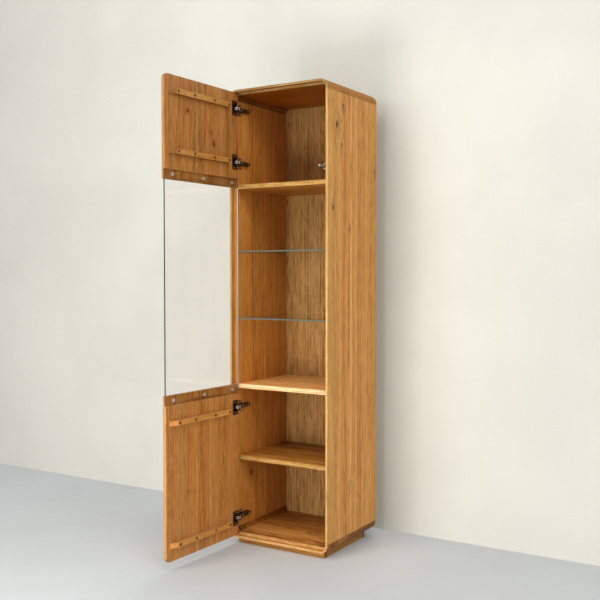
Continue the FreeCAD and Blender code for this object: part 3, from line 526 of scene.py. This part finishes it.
def log_place(tree, given, parts, luck, inside):
    """Where a point lies in the log of its stave: across and deep from the log's heart, and along it."""
    heart = maths(tree, "MULTIPLY_ADD", luck[0], HEART_SPREAD, -HEART_SPREAD / 2)
    across = maths(tree, "ADD", maths(tree, "ADD", inside, heart), given["Heart aside"])
    deep = maths(tree, "ADD", parts[1], maths(tree, "MULTIPLY_ADD", luck[1], HEART_DEPTH_SPREAD, HEART_DEPTH))
    return across, deep, maths(tree, "MULTIPLY_ADD", luck[2], LOG_SHIFT, parts[2])


def grain_patterns(tree, luck, across, deep, along):
    """The patterns of a stave's wood, by name."""
    log = joined(tree, across, deep, along)
    square = maths(tree, "ADD", maths(tree, "POWER", across, 2.0), maths(tree, "POWER", deep, 2.0))
    wander = oak_layer(tree, log, "wander")
    radius = maths(tree, "MULTIPLY_ADD", wander, RING_WANDER, maths(tree, "SQRT", square))
    year = maths(tree, "DIVIDE", radius, RING_WIDTH)
    ringed = {"W": year, "Scale": 0.55, "Detail": 3.0, "Roughness": 0.65}
    waved = maths(tree, "MULTIPLY_ADD", oak_layer(tree, log, "wave"), GRAIN_WAVE, across)
    grain = joined(tree, waved, deep, along)
    found = {name: oak_layer(tree, grain, name) for name in ("broad", "figure", "streak", "fibre")}
    found["rings"] = wire(tree, "TexNoise", ringed, noise_dimensions="1D").outputs["Fac"]
    found["early"] = span(tree, maths(tree, "FRACT", year), 0.0, 0.55, 1.0, 0.0)
    pore = span(tree, oak_layer(tree, grain, "pore"), 0.60, 0.70)
    found["pore"] = maths(tree, "MULTIPLY", pore, maths(tree, "MULTIPLY_ADD", found["early"], 0.75, 0.25))
    fleck = span(tree, oak_layer(tree, grain, "fleck"), 0.54, 0.66)
    found["fleck"] = maths(tree, "MULTIPLY", fleck, span(tree, luck[2], 0.62, 0.80, 0.12, 0.55))
    return found


def oak_colour(tree, given, across, luck, found):
    """The colour of the grain, of each stave's own warmth and of the board's tint, with painted light and
    shade: the board's light level and its falloff from lighter in front to darker behind.
    """
    shade = 0.5
    for name, weight in SHADE_WEIGHTS.items():
        shade = maths(tree, "MULTIPLY_ADD", maths(tree, "SUBTRACT", found[name], 0.5), weight, shade)
    shade = maths(tree, "MULTIPLY_ADD", found["early"], -0.10, shade)
    shade = maths(tree, "MULTIPLY_ADD", maths(tree, "SUBTRACT", luck[0], 0.5), 0.30, shade)
    shade = maths(tree, "MULTIPLY_ADD", maths(tree, "SUBTRACT", shade, 0.5), given["Contrast"], 0.5)
    colour = mixed(tree, span(tree, shade, 0.0, 0.5), given["Dark"], given["Middle"])
    colour = mixed(tree, span(tree, shade, 0.5, 1.0), colour, given["Light"])
    # Painted light and shade: lighter in front and darker behind, times the board's light level
    painted_lighting = maths(tree, "MULTIPLY_ADD", span(tree, across, *PAINTED_FALLOFF_SPAN, 1.0, -1.0), given["Fade"], 1.0)
    painted_lighting = maths(tree, "MULTIPLY", painted_lighting, given["Painted light level"])
    own = stretch(tree, mixed(tree, luck[1], WARM_STAVE, COOL_STAVE), painted_lighting)
    return tinted(tree, colour, tinted(tree, own, given["Tint"]))


def marked(tree, given, colour, found, seam):
    """The marks over the grain: sapwood, flecks, pores, knots and glue lines."""
    marks = (
        (given["Sapwood"], 0.65, tinted(tree, colour, SAPWOOD_TINT)),
        (found["fleck"], 0.45, FLECK_COLOUR),
        (found["pore"], 0.55, PORE_COLOUR),
        (given["Knot"], 0.92, KNOT_COLOUR),
        (span(tree, seam, *GLUE_LINE, 1.0, 0.0), 0.30, GLUE_COLOUR),
    )
    for mask, share, paint in marks:
        colour = mixed(tree, maths(tree, "MULTIPLY", mask, share), colour, paint)
    return colour


def by_face(tree, given, along, colour):
    """Paler long edges, darker end grain and painted shade on faces that look down. The top's end tint also
    paints light on its ends, and the upper battens' tips paint shade. Gives the colour, and where the ends
    are.
    """
    faces = split(tree, given["Facing"])
    edges = span(tree, size_of(tree, faces[0]), 0.75, 0.95)
    colour = mixed(tree, edges, colour, tinted(tree, colour, EDGE_TINT))
    ends = span(tree, size_of(tree, faces[2]), 0.2, 0.5)
    inside_case = span(tree, size_of(tree, along), *INNER_SPAN, 1.0, 0.0)
    end_grain_and_painted_light = mixed(tree, inside_case, given["End grain and painted light"], INNER_END_TINT)
    colour = mixed(tree, ends, colour, tinted(tree, colour, end_grain_and_painted_light))
    # Painted shade: faces that look down are darkened as if in shadow
    painted_shade_below = span(tree, given["Rise"], -0.9, -0.6, 1.0, 0.0)
    return mixed(tree, painted_shade_below, colour, tinted(tree, colour, given["Underside painted shade"])), ends


def make_stave_group():
    """Oiled solid oak glued up from staves: rings, fibres, pores, glue lines and darker end grain, with
    painted light and shade: a board's light level, its falloff from front to back, its ends and its
    undersides.
    """
    inputs = {
        "Place": None, "Facing": None, "Rise": 0.0, "Stave width": STAVE_WIDTH, "Seed": 0.0,
        "Knot": 0.0, "Sapwood": 0.0, "Heart aside": 0.0, "Contrast": 1.0, "Painted light level": 1.0, "Tint": NO_TINT,
        "Fade": 0.0, "End grain and painted light": END_TINT, "Underside painted shade": NO_TINT, **OAK_TONES,
    }
    outputs = {"Colour": "Color", "Roughness": "Float", "Height": "Float"}
    tree, given, out = new_group("oak staves", inputs, outputs)
    parts = split(tree, given["Place"])
    luck, inside, seam = stave_cells(tree, given, parts[0])
    found = grain_patterns(tree, luck, *log_place(tree, given, parts, luck, inside))
    colour = marked(tree, given, oak_colour(tree, given, parts[0], luck, found), found, seam)
    colour, ends = by_face(tree, given, parts[2], colour)
    tree.links.new(colour, out.inputs["Colour"])
    rough = maths(tree, "MULTIPLY_ADD", found["fibre"], 0.16, 0.36)
    rough = maths(tree, "MULTIPLY_ADD", found["pore"], 0.20, rough)
    tree.links.new(maths(tree, "MULTIPLY_ADD", ends, 0.14, rough), out.inputs["Roughness"])
    height = maths(tree, "MULTIPLY_ADD", found["fibre"], 0.45, maths(tree, "MULTIPLY", found["rings"], 0.35))
    height = maths(tree, "MULTIPLY_ADD", found["pore"], -0.9, height)
    clear_of_seam = span(tree, seam, 0.0, SEAM_REACH)
    height = maths(tree, "MULTIPLY", maths(tree, "SUBTRACT", height, 0.4), clear_of_seam)
    tree.links.new(maths(tree, "MULTIPLY_ADD", given["Knot"], -0.4, height), out.inputs["Height"])
    return tree


def make_wear_and_highlight_group():
    """Where a piece's edges are: handled edges are paler and smoother, and on the hinge cups the pale rim is
    also a painted highlight.
    """
    tree, given, out = new_group("worn edges", {"Reach": METAL_EDGE_REACH}, {"Mask": "Float"})
    round_normal = wire(tree, "Bevel", {"Radius": given["Reach"]}, samples=6).outputs[0]
    normals = {0: round_normal, 1: wire(tree, "NewGeometry").outputs["Normal"]}
    alike = wire(tree, "VectorMath", normals, operation="DOT_PRODUCT").outputs["Value"]
    tree.links.new(span(tree, alike, 0.80, 0.995, 1.0, 0.0), out.inputs["Mask"])
    return tree


def make_metal_group():
    """Plated metal: fine brushing, faint cloudiness and handling marks."""
    inputs = {"Place": None, "Base": (0.8, 0.8, 0.8, 1), "Gloss": 0.2}
    outputs = {"Colour": "Color", "Roughness": "Float", "Height": "Float"}
    tree, given, out = new_group("plated metal", inputs, outputs)
    brushed = noise(tree, stretch(tree, given["Place"], (2600.0, 2600.0, 240.0)), 1.0, 2.0)
    cloudy = noise(tree, given["Place"], 210.0, 3.0)
    marks = span(tree, noise(tree, given["Place"], 900.0, 2.0), 0.58, 0.72)
    share = maths(tree, "MULTIPLY_ADD", cloudy, 0.5, maths(tree, "MULTIPLY", marks, 0.25))
    dull = tinted(tree, given["Base"], METAL_DULLING)
    tree.links.new(mixed(tree, share, given["Base"], dull), out.inputs["Colour"])
    rough = maths(tree, "MULTIPLY_ADD", cloudy, 0.16, given["Gloss"])
    tree.links.new(maths(tree, "MULTIPLY_ADD", marks, 0.10, rough), out.inputs["Roughness"])
    tree.links.new(maths(tree, "MULTIPLY_ADD", brushed, 0.5, cloudy), out.inputs["Height"])
    return tree


def make_glass_group():
    """Sheet glass: nearly clear faces with faint smears, and green ground edges."""
    outputs = {"Colour": "Color", "Roughness": "Float", "Height": "Float"}
    tree, given, out = new_group("sheet glass", {"Place": None, "Edge": 0.0}, outputs)
    smear = span(tree, noise(tree, stretch(tree, given["Place"], (9.0, 9.0, 4.0)), 1.0, 4.0), 0.52, 0.75)
    tree.links.new(mixed(tree, given["Edge"], GLASS_FACE_TINT, GLASS_EDGE_TINT), out.inputs["Colour"])
    rough = maths(tree, "MULTIPLY", smear, 0.03)
    tree.links.new(maths(tree, "MULTIPLY_ADD", given["Edge"], 0.22, rough), out.inputs["Roughness"])
    tree.links.new(noise(tree, given["Place"], 14.0, 2.0), out.inputs["Height"])
    return tree


KNOT = make_knot_group()
STRIPE = make_stripe_group()
STAVES = make_stave_group()
WEAR_AND_HIGHLIGHT = make_wear_and_highlight_group()
METAL = make_metal_group()
GLASS = make_glass_group()


# Materials

def new_material(name):
    """A material, its node tree and its shader."""
    material = bpy.data.materials.new(name)
    material.use_nodes = True
    return material, material.node_tree, material.node_tree.nodes["Principled BSDF"]


def bump(tree, height, strength, relief):
    given = {"Height": height, "Strength": strength, "Distance": relief}
    return wire(tree, "Bump", given).outputs[0]


def turned(tree, socket, rows, kind="POINT"):
    given = {"Vector": socket, "Rotation": Matrix(rows).to_euler()}
    return wire(tree, "Mapping", given, vector_type=kind).outputs[0]


def striped(tree, place, stripes, waver):
    """Where the stripes of a board are."""
    share = 0.0
    for across, width in stripes:
        inputs = {"Place": place, "Across": across, "Width": width, "Waver": waver}
        share = highest(tree, place_group(tree, STRIPE, inputs)["Mask"], share)
    return share


def stained(tree, place, stains, joints):
    """Where screws have stained the oak and where dark joint lines cross it."""
    mask = 0.0
    for point in stains:
        mask = highest(tree, span(tree, distance(tree, place, point), *STAIN_SPAN, 0.92, 0.0), mask)
    for level in joints:
        far = size_of(tree, maths(tree, "SUBTRACT", split(tree, place)[2], level))
        mask = highest(tree, span(tree, far, *JOINT_SPAN, 0.60, 0.0), mask)
    return mask


def knotted(tree, place, knots, mask):
    """The place with its grain bent round the knots, and the mask with the knots in it."""
    for across, along, size in knots:
        inputs = {"Place": place, "Across": across, "Along": along, "Size": size}
        knot = place_group(tree, KNOT, inputs)
        place = knot["Place"]
        mask = highest(tree, knot["Mask"], mask)
    return place, mask


def oak_finish(name, turn, seed, width, knots=(), stripes=(), veins=(), stains=(), joints=(), tones=OAK_TONES,
               contrast=1.0, aside=0.0, painted_light_level=1.0, tint=NO_TINT, painted_falloff=0.0, end_grain_and_painted_light=END_TINT,
               underside_painted_shade=NO_TINT):
    """The oak of one board. BOARDS says what its values are."""
    material, tree, shader = new_material(name + "_oak")
    coordinates = wire(tree, "TexCoord").outputs
    dark = stained(tree, coordinates["Object"], stains, joints)
    place, dark = knotted(tree, turned(tree, coordinates["Object"], TURNS[turn]), knots, dark)
    if veins:
        gaps = span(tree, oak_layer(tree, place, "vein gaps"), 0.40, 0.60, 0.15, 0.85)
        dark = highest(tree, maths(tree, "MULTIPLY", striped(tree, place, veins, VEIN_WAVER), gaps), dark)
    inputs = {
        "Place": place, "Facing": turned(tree, coordinates["Normal"], TURNS[turn], "VECTOR"),
        "Rise": split(tree, coordinates["Normal"])[2], "Stave width": width, "Seed": seed, "Knot": dark,
        "Sapwood": striped(tree, place, stripes, STRIPE_WAVER), "Heart aside": aside,
        "Contrast": contrast, "Painted light level": painted_light_level, "Tint": tint, "Fade": painted_falloff,
        "End grain and painted light": end_grain_and_painted_light, "Underside painted shade": underside_painted_shade, **tones,
    }
    wood = place_group(tree, STAVES, inputs)
    edge_share = place_group(tree, WEAR_AND_HIGHLIGHT, {"Reach": WORN_OAK_REACH})["Mask"]
    colour = mixed(tree, maths(tree, "MULTIPLY", edge_share, 0.55), wood["Colour"], WORN_OAK_COLOUR)
    tree.links.new(colour, shader.inputs["Base Color"])
    tree.links.new(maths(tree, "MULTIPLY_ADD", edge_share, -0.08, wood["Roughness"]), shader.inputs["Roughness"])
    tree.links.new(bump(tree, wood["Height"], 0.35, OAK_RELIEF), shader.inputs["Normal"])
    shader.inputs["Specular IOR Level"].default_value = 0.30
    return material


def metal_finish(name, base, gloss, reach=METAL_EDGE_REACH, rim=None, mouth=None):
    """A plated finish with a paler rim of worn plating, which on the hinge cups is also a painted highlight.
    The mouth is a point round which the piece is black.
    """
    material, tree, shader = new_material(name)
    place = wire(tree, "TexCoord").outputs["Object"]
    metal = place_group(tree, METAL, {"Place": place, "Base": base, "Gloss": gloss})
    edge_share = place_group(tree, WEAR_AND_HIGHLIGHT, {"Reach": reach})["Mask"]
    rim = rim or tuple(min(1.0, 1.5 * value + 0.06) for value in base[:3]) + (1,)
    colour = mixed(tree, maths(tree, "MULTIPLY", edge_share, 0.5), metal["Colour"], rim)
    if mouth:
        near = span(tree, distance(tree, place, mouth), *MOUTH_SPAN, 1.0, 0.0)
        colour = mixed(tree, near, colour, MOUTH_COLOUR)
    tree.links.new(colour, shader.inputs["Base Color"])
    tree.links.new(metal["Roughness"], shader.inputs["Roughness"])
    tree.links.new(bump(tree, metal["Height"], 0.12, METAL_RELIEF), shader.inputs["Normal"])
    shader.inputs["Metallic"].default_value = 1.0
    return material


def plastic_finish(name, base, gloss):
    """A moulded or ground surface with a fine grain."""
    material, tree, shader = new_material(name)
    place = wire(tree, "TexCoord").outputs["Object"]
    grain = noise(tree, place, 2200.0, 2.0)
    cloudy = noise(tree, place, 160.0, 2.0)
    paler = tuple(min(1.0, 1.25 * value + 0.01) for value in base[:3]) + (1,)
    tree.links.new(mixed(tree, cloudy, base, paler), shader.inputs["Base Color"])
    tree.links.new(maths(tree, "MULTIPLY_ADD", grain, 0.14, gloss), shader.inputs["Roughness"])
    tree.links.new(bump(tree, grain, 0.15, PLASTIC_RELIEF), shader.inputs["Normal"])
    return material


def glass_finish(name, thickness_axis, bending):
    """Clear sheet glass whose edges, the faces beside its thickness, are green and ground."""
    material, tree, shader = new_material(name)
    coordinates = wire(tree, "TexCoord").outputs
    facing = split(tree, coordinates["Normal"])[thickness_axis]
    edge = span(tree, size_of(tree, facing), 0.3, 0.9, 1.0, 0.0)
    glass = place_group(tree, GLASS, {"Place": coordinates["Object"], "Edge": edge})
    tree.links.new(glass["Colour"], shader.inputs["Base Color"])
    tree.links.new(glass["Roughness"], shader.inputs["Roughness"])
    tree.links.new(bump(tree, glass["Height"], 0.02, GLASS_RELIEF), shader.inputs["Normal"])
    shader.inputs["Transmission Weight"].default_value = 1.0
    shader.inputs["IOR"].default_value = bending
    shadow = wire(tree, "LightPath").outputs["Is Shadow Ray"]
    tree.links.new(maths(tree, "MULTIPLY_ADD", shadow, -0.97, 1.0), shader.inputs["Alpha"])
    return material


def make_finishes():
    """The finish of every node, by the node's name."""
    finishes = {}
    for name, facts in BOARDS.items():
        finishes[name] = oak_finish(name, stains=stained_places(name), **facts)
    finishes["carcass_dowels"] = oak_finish("dowel", "rail_across", 51.0, 0.4, tones=BEECH_TONES)

    bright = metal_finish("bright_nickel_plate", (0.80, 0.79, 0.76, 1), 0.22)
    for name in ("glass_shelf_pins", "loose_shelf_pins", "hinge_arm_pins", "hinge_arm_screws",
                 "hinge_plate_screws", "latch_screws"):
        finishes[name] = bright
    dark = metal_finish("dark_nickel_plate", (0.17, 0.16, 0.15, 1), 0.22)
    # The cups' pale rim is worn plating and a painted highlight
    cup = metal_finish("cup_nickel_plate", (0.15, 0.14, 0.13, 1), 0.22, CUP_RIM_WEAR_AND_HIGHLIGHT_REACH, CUP_RIM_HIGHLIGHT_AND_WEAR)
    for level in LEVELS:
        finishes["hinge_link_" + level] = bright
        finishes["hinge_cup_" + level] = cup
        finishes["hinge_arm_" + level] = dark
        finishes["hinge_plate_" + level] = dark
    finishes["hinge_cup_screws"] = metal_finish("dull_nickel_plate", (0.34, 0.32, 0.29, 1), 0.35)
    screw = metal_finish("dark_screw_steel", (0.035, 0.030, 0.026, 1), 0.45)
    for name in ("batten_screws", "back_panel_screws", "pane_screws"):
        finishes[name] = screw
    finishes["pane_caps"] = metal_finish("brushed_cap_steel", (0.80, 0.79, 0.77, 1), 0.62)
    finishes["latch_bracket"] = metal_finish("latch_steel", (0.62, 0.60, 0.57, 1), 0.42, mouth=latch_mouth())

    finishes["latch_housing"] = plastic_finish("black_plastic", (0.030, 0.030, 0.032, 1), 0.45)
    finishes["latch_plunger"] = plastic_finish("grey_plastic", (0.24, 0.24, 0.22, 1), 0.48)
    finishes["pane_bushes"] = plastic_finish("clear_bush_plastic", (0.80, 0.82, 0.80, 1), 0.25)
    finishes["door_pane"] = glass_finish("door_pane_glass", 0, PANE_BENDING)
    shelf_glass = glass_finish("shelf_glass", 2, SHELF_BENDING)
    finishes["upper_glass_shelf"] = shelf_glass
    finishes["lower_glass_shelf"] = shelf_glass
    return finishes


# Shaping

def only(piece):
    bpy.ops.object.select_all(action="DESELECT")
    piece.select_set(True)
    bpy.context.view_layer.objects.active = piece


def choose(piece, kind, test):
    """Edit mode, with the faces or edges of a piece that pass a test selected."""
    only(piece)
    bpy.ops.object.mode_set(mode="EDIT")
    bpy.ops.mesh.select_mode(type=kind)
    bpy.ops.mesh.select_all(action="DESELECT")
    bpy.ops.object.mode_set(mode="OBJECT")
    for part in piece.data.polygons if kind == "FACE" else piece.data.edges:
        part.select = test(part)
    bpy.ops.object.mode_set(mode="EDIT")


def done(piece):
    bpy.ops.object.mode_set(mode="OBJECT")
    return piece


def settle(piece):
    """Puts a piece's place into its mesh, so that its object sits at the origin."""
    only(piece)
    bpy.ops.object.transform_apply(location=True, rotation=True, scale=True)
    return piece


def crisp(piece, angle):
    """Smooth shading that keeps edges sharper than an angle."""
    only(piece)
    bpy.ops.object.shade_smooth_by_angle(angle=math.radians(angle))
    return piece


def smoothed(piece):
    """Smooth shading over rounded edges that leaves the flat faces flat."""
    crisp(piece, SMOOTH_ANGLE)
    piece.modifiers.new("normals", "WEIGHTED_NORMAL").keep_sharp = True
    bpy.ops.object.modifier_apply(modifier="normals")
    return piece


def block(name, middle, size, turn=0):
    """A box with its middle at a place, turned about its own upright axis."""
    bpy.ops.object.select_all(action="DESELECT")
    bpy.ops.mesh.primitive_cube_add(size=1, location=middle)
    piece = bpy.context.active_object
    piece.name = name
    piece.scale = size
    piece.rotation_euler.z = turn
    return settle(piece)


def round_bar(name, radius, depth, faces):
    """A cylinder whose top is on the origin."""
    bpy.ops.object.select_all(action="DESELECT")
    middle = (0, 0, -depth / 2)
    bpy.ops.mesh.primitive_cylinder_add(vertices=faces, radius=radius, depth=depth, location=middle)
    piece = bpy.context.active_object
    piece.name = name
    return settle(piece)


def eased_block(name, low, high, radius, segments):
    """A board or sheet with its edges eased."""
    piece = block(name, (low + high) / 2, high - low)
    choose(piece, "EDGE", lambda edge: True)
    bpy.ops.mesh.bevel(offset=radius, segments=segments, affect="EDGES", profile=0.5)
    return smoothed(done(piece))


def softened(node, width, segments=2):
    """A copy of a CAD node with its sharp edges rounded over a little."""
    piece = bpy.data.objects.new(node + "_soft", NODES[node].data.copy())
    bpy.context.scene.collection.objects.link(piece)
    only(piece)
    bpy.ops.object.mode_set(mode="EDIT")
    bpy.ops.mesh.select_all(action="SELECT")
    bpy.ops.mesh.remove_doubles(threshold=MERGE)
    bpy.ops.mesh.dissolve_limited(angle_limit=math.radians(FLAT_ANGLE))
    done(piece)
    rounding = piece.modifiers.new("rounding", "BEVEL")
    rounding.width = width
    rounding.segments = segments
    rounding.limit_method = "ANGLE"
    rounding.angle_limit = math.radians(BEND_ANGLE)
    bpy.ops.object.modifier_apply(modifier="rounding")
    return smoothed(piece)


def cut_with(piece, tool):
    """Takes a tool's shape out of a piece."""
    only(piece)
    cutting = piece.modifiers.new("cutting", "BOOLEAN")
    cutting.operation = "DIFFERENCE"
    cutting.solver = "EXACT"
    cutting.object = tool
    bpy.ops.object.modifier_apply(modifier="cutting")
    bpy.data.objects.remove(tool)
    return piece


def slotted(link):
    """A hinge link with a slot through its bend."""
    corners = [Vector(corner) for corner in link.bound_box]
    middle = (corners[0] + corners[6]) / 2 + Vector(SLOT_OFF)
    return cut_with(link, block("slot_tool", middle, SLOT_SIZE))


def looks_down(face):
    return face.normal.z < -LEVEL_SHARE


def on_top(piece):
    """A test for the edges of a piece that lie on the plane of its top."""
    return lambda edge: all(piece.data.vertices[i].co.z > -CLOSE for i in edge.vertices)


def cross_screw(name, radius, head, length, sunk):
    """A screw with a cross recess. Its head's face is on the origin and its shank goes down."""
    screw = round_bar(name, radius, head, 28)
    choose(screw, "FACE", looks_down)
    if sunk:
        bpy.ops.transform.resize(value=(SCREW_SHANK / radius, SCREW_SHANK / radius, 1))
    else:
        bpy.ops.mesh.inset(thickness=radius - SCREW_SHANK)
    shaft = {"value": (0, 0, head + 2 * SCREW_SHANK - length)}
    bpy.ops.mesh.extrude_region_move(TRANSFORM_OT_translate=shaft)
    point = {"value": (0, 0, -2 * SCREW_SHANK)}
    bpy.ops.mesh.extrude_region_move(TRANSFORM_OT_translate=point)
    bpy.ops.transform.resize(value=(SCREW_POINT_SHARE, SCREW_POINT_SHARE, 1))
    done(screw)
    choose(screw, "EDGE", on_top(screw))
    ease = head * (SUNK_EASE_SHARE if sunk else RAISED_EASE_SHARE)
    bpy.ops.mesh.bevel(offset=ease, segments=3, affect="EDGES")
    done(screw)
    depth = head * RECESS_DEPTH_SHARE
    size = (RECESS_LENGTH_SHARE * radius, RECESS_WIDTH_SHARE * radius, depth + 2 * CLOSE)
    for turn in (0, math.pi / 2):
        blade = block("recess_tool", (0, 0, -depth / 2 + CLOSE), size, turn)
        choose(blade, "FACE", looks_down)
        bpy.ops.transform.resize(value=(RECESS_FLOOR_SHARE, RECESS_FLOOR_SHARE, 1))
        cut_with(screw, done(blade))
    return crisp(screw, SCREW_ANGLE)


def domed_cap(name, height):
    """A hollow cap with a domed face. Its top is on the origin."""
    cap = round_bar(name, CAP_RADIUS, height, 40)
    choose(cap, "EDGE", on_top(cap))
    bpy.ops.mesh.bevel(offset=height * CAP_DOME_SHARE, segments=5, affect="EDGES")
    done(cap)
    choose(cap, "FACE", looks_down)
    bpy.ops.mesh.inset(thickness=CAP_WALL)
    bpy.ops.mesh.extrude_region_move(TRANSFORM_OT_translate={"value": (0, 0, height - CAP_WALL)})
    return crisp(done(cap), SCREW_ANGLE)


def repeated(name, master, places, axis):
    """One piece with a copy at each place, each pointing along the axis and turned its own way."""
    point = Vector((0, 0, 1)).rotation_difference(Vector(axis)).to_matrix().to_4x4()
    copies = []
    for i, place in enumerate(places):
        copy = bpy.data.objects.new(name, master.data.copy())
        bpy.context.scene.collection.objects.link(copy)
        copy.data.transform(Matrix.Translation(place) @ point @ Matrix.Rotation(i * SCREW_TURN, 4, "Z"))
        copies.append(copy)
    bpy.data.objects.remove(master)
    bpy.ops.object.select_all(action="DESELECT")
    for copy in copies:
        copy.select_set(True)
    bpy.context.view_layer.objects.active = copies[0]
    bpy.ops.object.join()
    return bpy.context.active_object


# Pieces

def dress(piece, body, node):
    """Gives a piece the finish of its node, hangs it on the body it rides on and hides the node it stands
    for.
    """
    piece.data.materials.clear()
    piece.data.materials.append(FINISHES[node])
    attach(piece, body)
    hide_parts(node)


def add_screws():
    for node, facts in SCREWS.items():
        places, length = fastenings(node, facts["axis"])
        screw = cross_screw(node + "_one", facts["radius"], facts["head"], length, facts["sunk"])
        dress(repeated(node + "_crossed", screw, places, facts["axis"]), facts["body"], node)


def add_caps():
    places, height = fastenings("pane_caps", DOOR_FACE)
    caps = repeated("pane_caps_domed", domed_cap("pane_cap_one", height), places, DOOR_FACE)
    dress(caps, "door", "pane_caps")


def add_hinges():
    """Cups, arms, plates and links, with their pressed edges rounded."""
    for level in LEVELS:
        for part, body in (("cup", "door"), ("arm", "case"), ("plate", "case")):
            node = f"hinge_{part}_{level}"
            dress(softened(node, HINGE_EASE[part]), body, node)
        link = "hinge_link_" + level
        dress(slotted(softened(link, HINGE_EASE["link"])), link, link)


def add_latch():
    dress(softened("latch_bracket", BRACKET_EASE), "case", "latch_bracket")
    dress(softened("latch_plunger", PLUNGER_EASE, 3), "plunger", "latch_plunger")


def add_shelves():
    """The shelves that lie on pins: two glass sheets with ground edges, and a board."""
    ground = plastic_finish("ground_glass_edge", (0.075, 0.105, 0.085, 1), 0.25)
    for name in ("upper_glass_shelf", "lower_glass_shelf"):
        sheet = eased_block(name + "_sheet", *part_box(name), GLASS_EASE, 2)
        dress(sheet, name, name)
        sheet.data.materials.append(ground)
        for face in sheet.data.polygons:
            face.material_index = 1 if abs(face.normal.z) < EDGE_LEVEL_SHARE else 0
    board = eased_block("loose_shelf_board", *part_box("loose_shelf"), SHELF_EASE, 3)
    dress(board, "loose_shelf", "loose_shelf")


# Room, lamps and camera

def room_finish(name, colour, one_sided):
    """A painted surface with faint clouds. A one-sided one is clear from behind."""
    material, tree, shader = new_material(name)
    place = wire(tree, "TexCoord").outputs["Object"]
    cloud = span(tree, noise(tree, place, 1.3, 4.0, 0.6), 0.3, 0.7)
    speck = noise(tree, place, 90.0, 3.0)
    darker = tuple(CLOUD_SHARE * value for value in colour) + (1,)
    tree.links.new(mixed(tree, cloud, darker, colour + (1,)), shader.inputs["Base Color"])
    shader.inputs["Roughness"].default_value = 0.85
    tree.links.new(bump(tree, speck, 0.05, ROOM_RELIEF), shader.inputs["Normal"])
    if one_sided:
        back = wire(tree, "NewGeometry").outputs["Backfacing"]
        tree.links.new(maths(tree, "SUBTRACT", 1.0, back), shader.inputs["Alpha"])
    return material


def flat(name, corners, material):
    mesh = bpy.data.meshes.new(name)
    mesh.from_pydata(corners, [], [tuple(range(len(corners)))])
    sheet = bpy.data.objects.new(name, mesh)
    bpy.context.scene.collection.objects.link(sheet)
    mesh.materials.append(material)
    return sheet


def add_room():
    left, right = -ROOM_REACH, ROOM_REACH
    ground = [(left, left, 0), (right, left, 0), (right, right, 0), (left, right, 0)]
    flat("floor", ground, room_finish("pale_floor", FLOOR_COLOUR, False))
    upright = [(left, WALL_Y, 0), (right, WALL_Y, 0), (right, WALL_Y, ROOM_TOP), (left, WALL_Y, ROOM_TOP)]
    wall = flat("wall", upright, room_finish("pale_wall", WALL_COLOUR, True))
    wall.visible_shadow = False
    wall.visible_diffuse = False


def add_lamps():
    for name, lamp in LAMPS.items():
        data = bpy.data.lights.new(name + "_lamp", "AREA")
        data.energy = lamp["power"]
        data.size = lamp["size"]
        data.color = LAMP_COLOUR
        holder = bpy.data.objects.new(name + "_lamp", data)
        holder.location = lamp["place"]
        holder.visible_camera = False
        holder.visible_transmission = False
        holder.visible_glossy = lamp["mirrored"]
        holder.rotation_euler = (Vector(AIM) - Vector(lamp["place"])).to_track_quat("-Z", "Y").to_euler()
        bpy.context.scene.collection.objects.link(holder)


def light_world():
    """A soft world that lights less than it shows."""
    world = bpy.data.worlds.new("studio")
    world.use_nodes = True
    bpy.context.scene.world = world
    tree = world.node_tree
    background = tree.nodes["Background"]
    rays = wire(tree, "LightPath").outputs
    seen = highest(tree, rays["Is Camera Ray"], rays["Is Transmission Ray"])
    seen = highest(tree, seen, rays["Is Glossy Ray"])
    colour = mixed(tree, seen, WORLD_COLOUR + (1,), BACKGROUND_COLOUR + (1,))
    tree.links.new(colour, background.inputs["Color"])
    strength = maths(tree, "MULTIPLY_ADD", seen, 1.0 - WORLD_STRENGTH, WORLD_STRENGTH)
    tree.links.new(strength, background.inputs["Strength"])


def set_camera():
    data = bpy.data.cameras.new("camera")
    data.lens = CAMERA_LENS
    data.sensor_width = CAMERA_SENSOR
    data.shift_x, data.shift_y = CAMERA_SHIFT
    camera = bpy.data.objects.new("camera", data)
    camera.location = CAMERA_PLACE
    camera.rotation_euler = (math.pi / 2 + CAMERA_PITCH, 0, CAMERA_YAW)
    bpy.context.scene.collection.objects.link(camera)
    bpy.context.scene.camera = camera


FINISHES = make_finishes()
for name, node in NODES.items():
    node.data.materials.clear()
    node.data.materials.append(FINISHES[name])

add_screws()
add_caps()
add_hinges()
add_latch()
add_shelves()
add_room()
add_lamps()
light_world()
set_camera()
bpy.context.scene.view_settings.view_transform = "Standard"

bpy.context.view_layer.update()
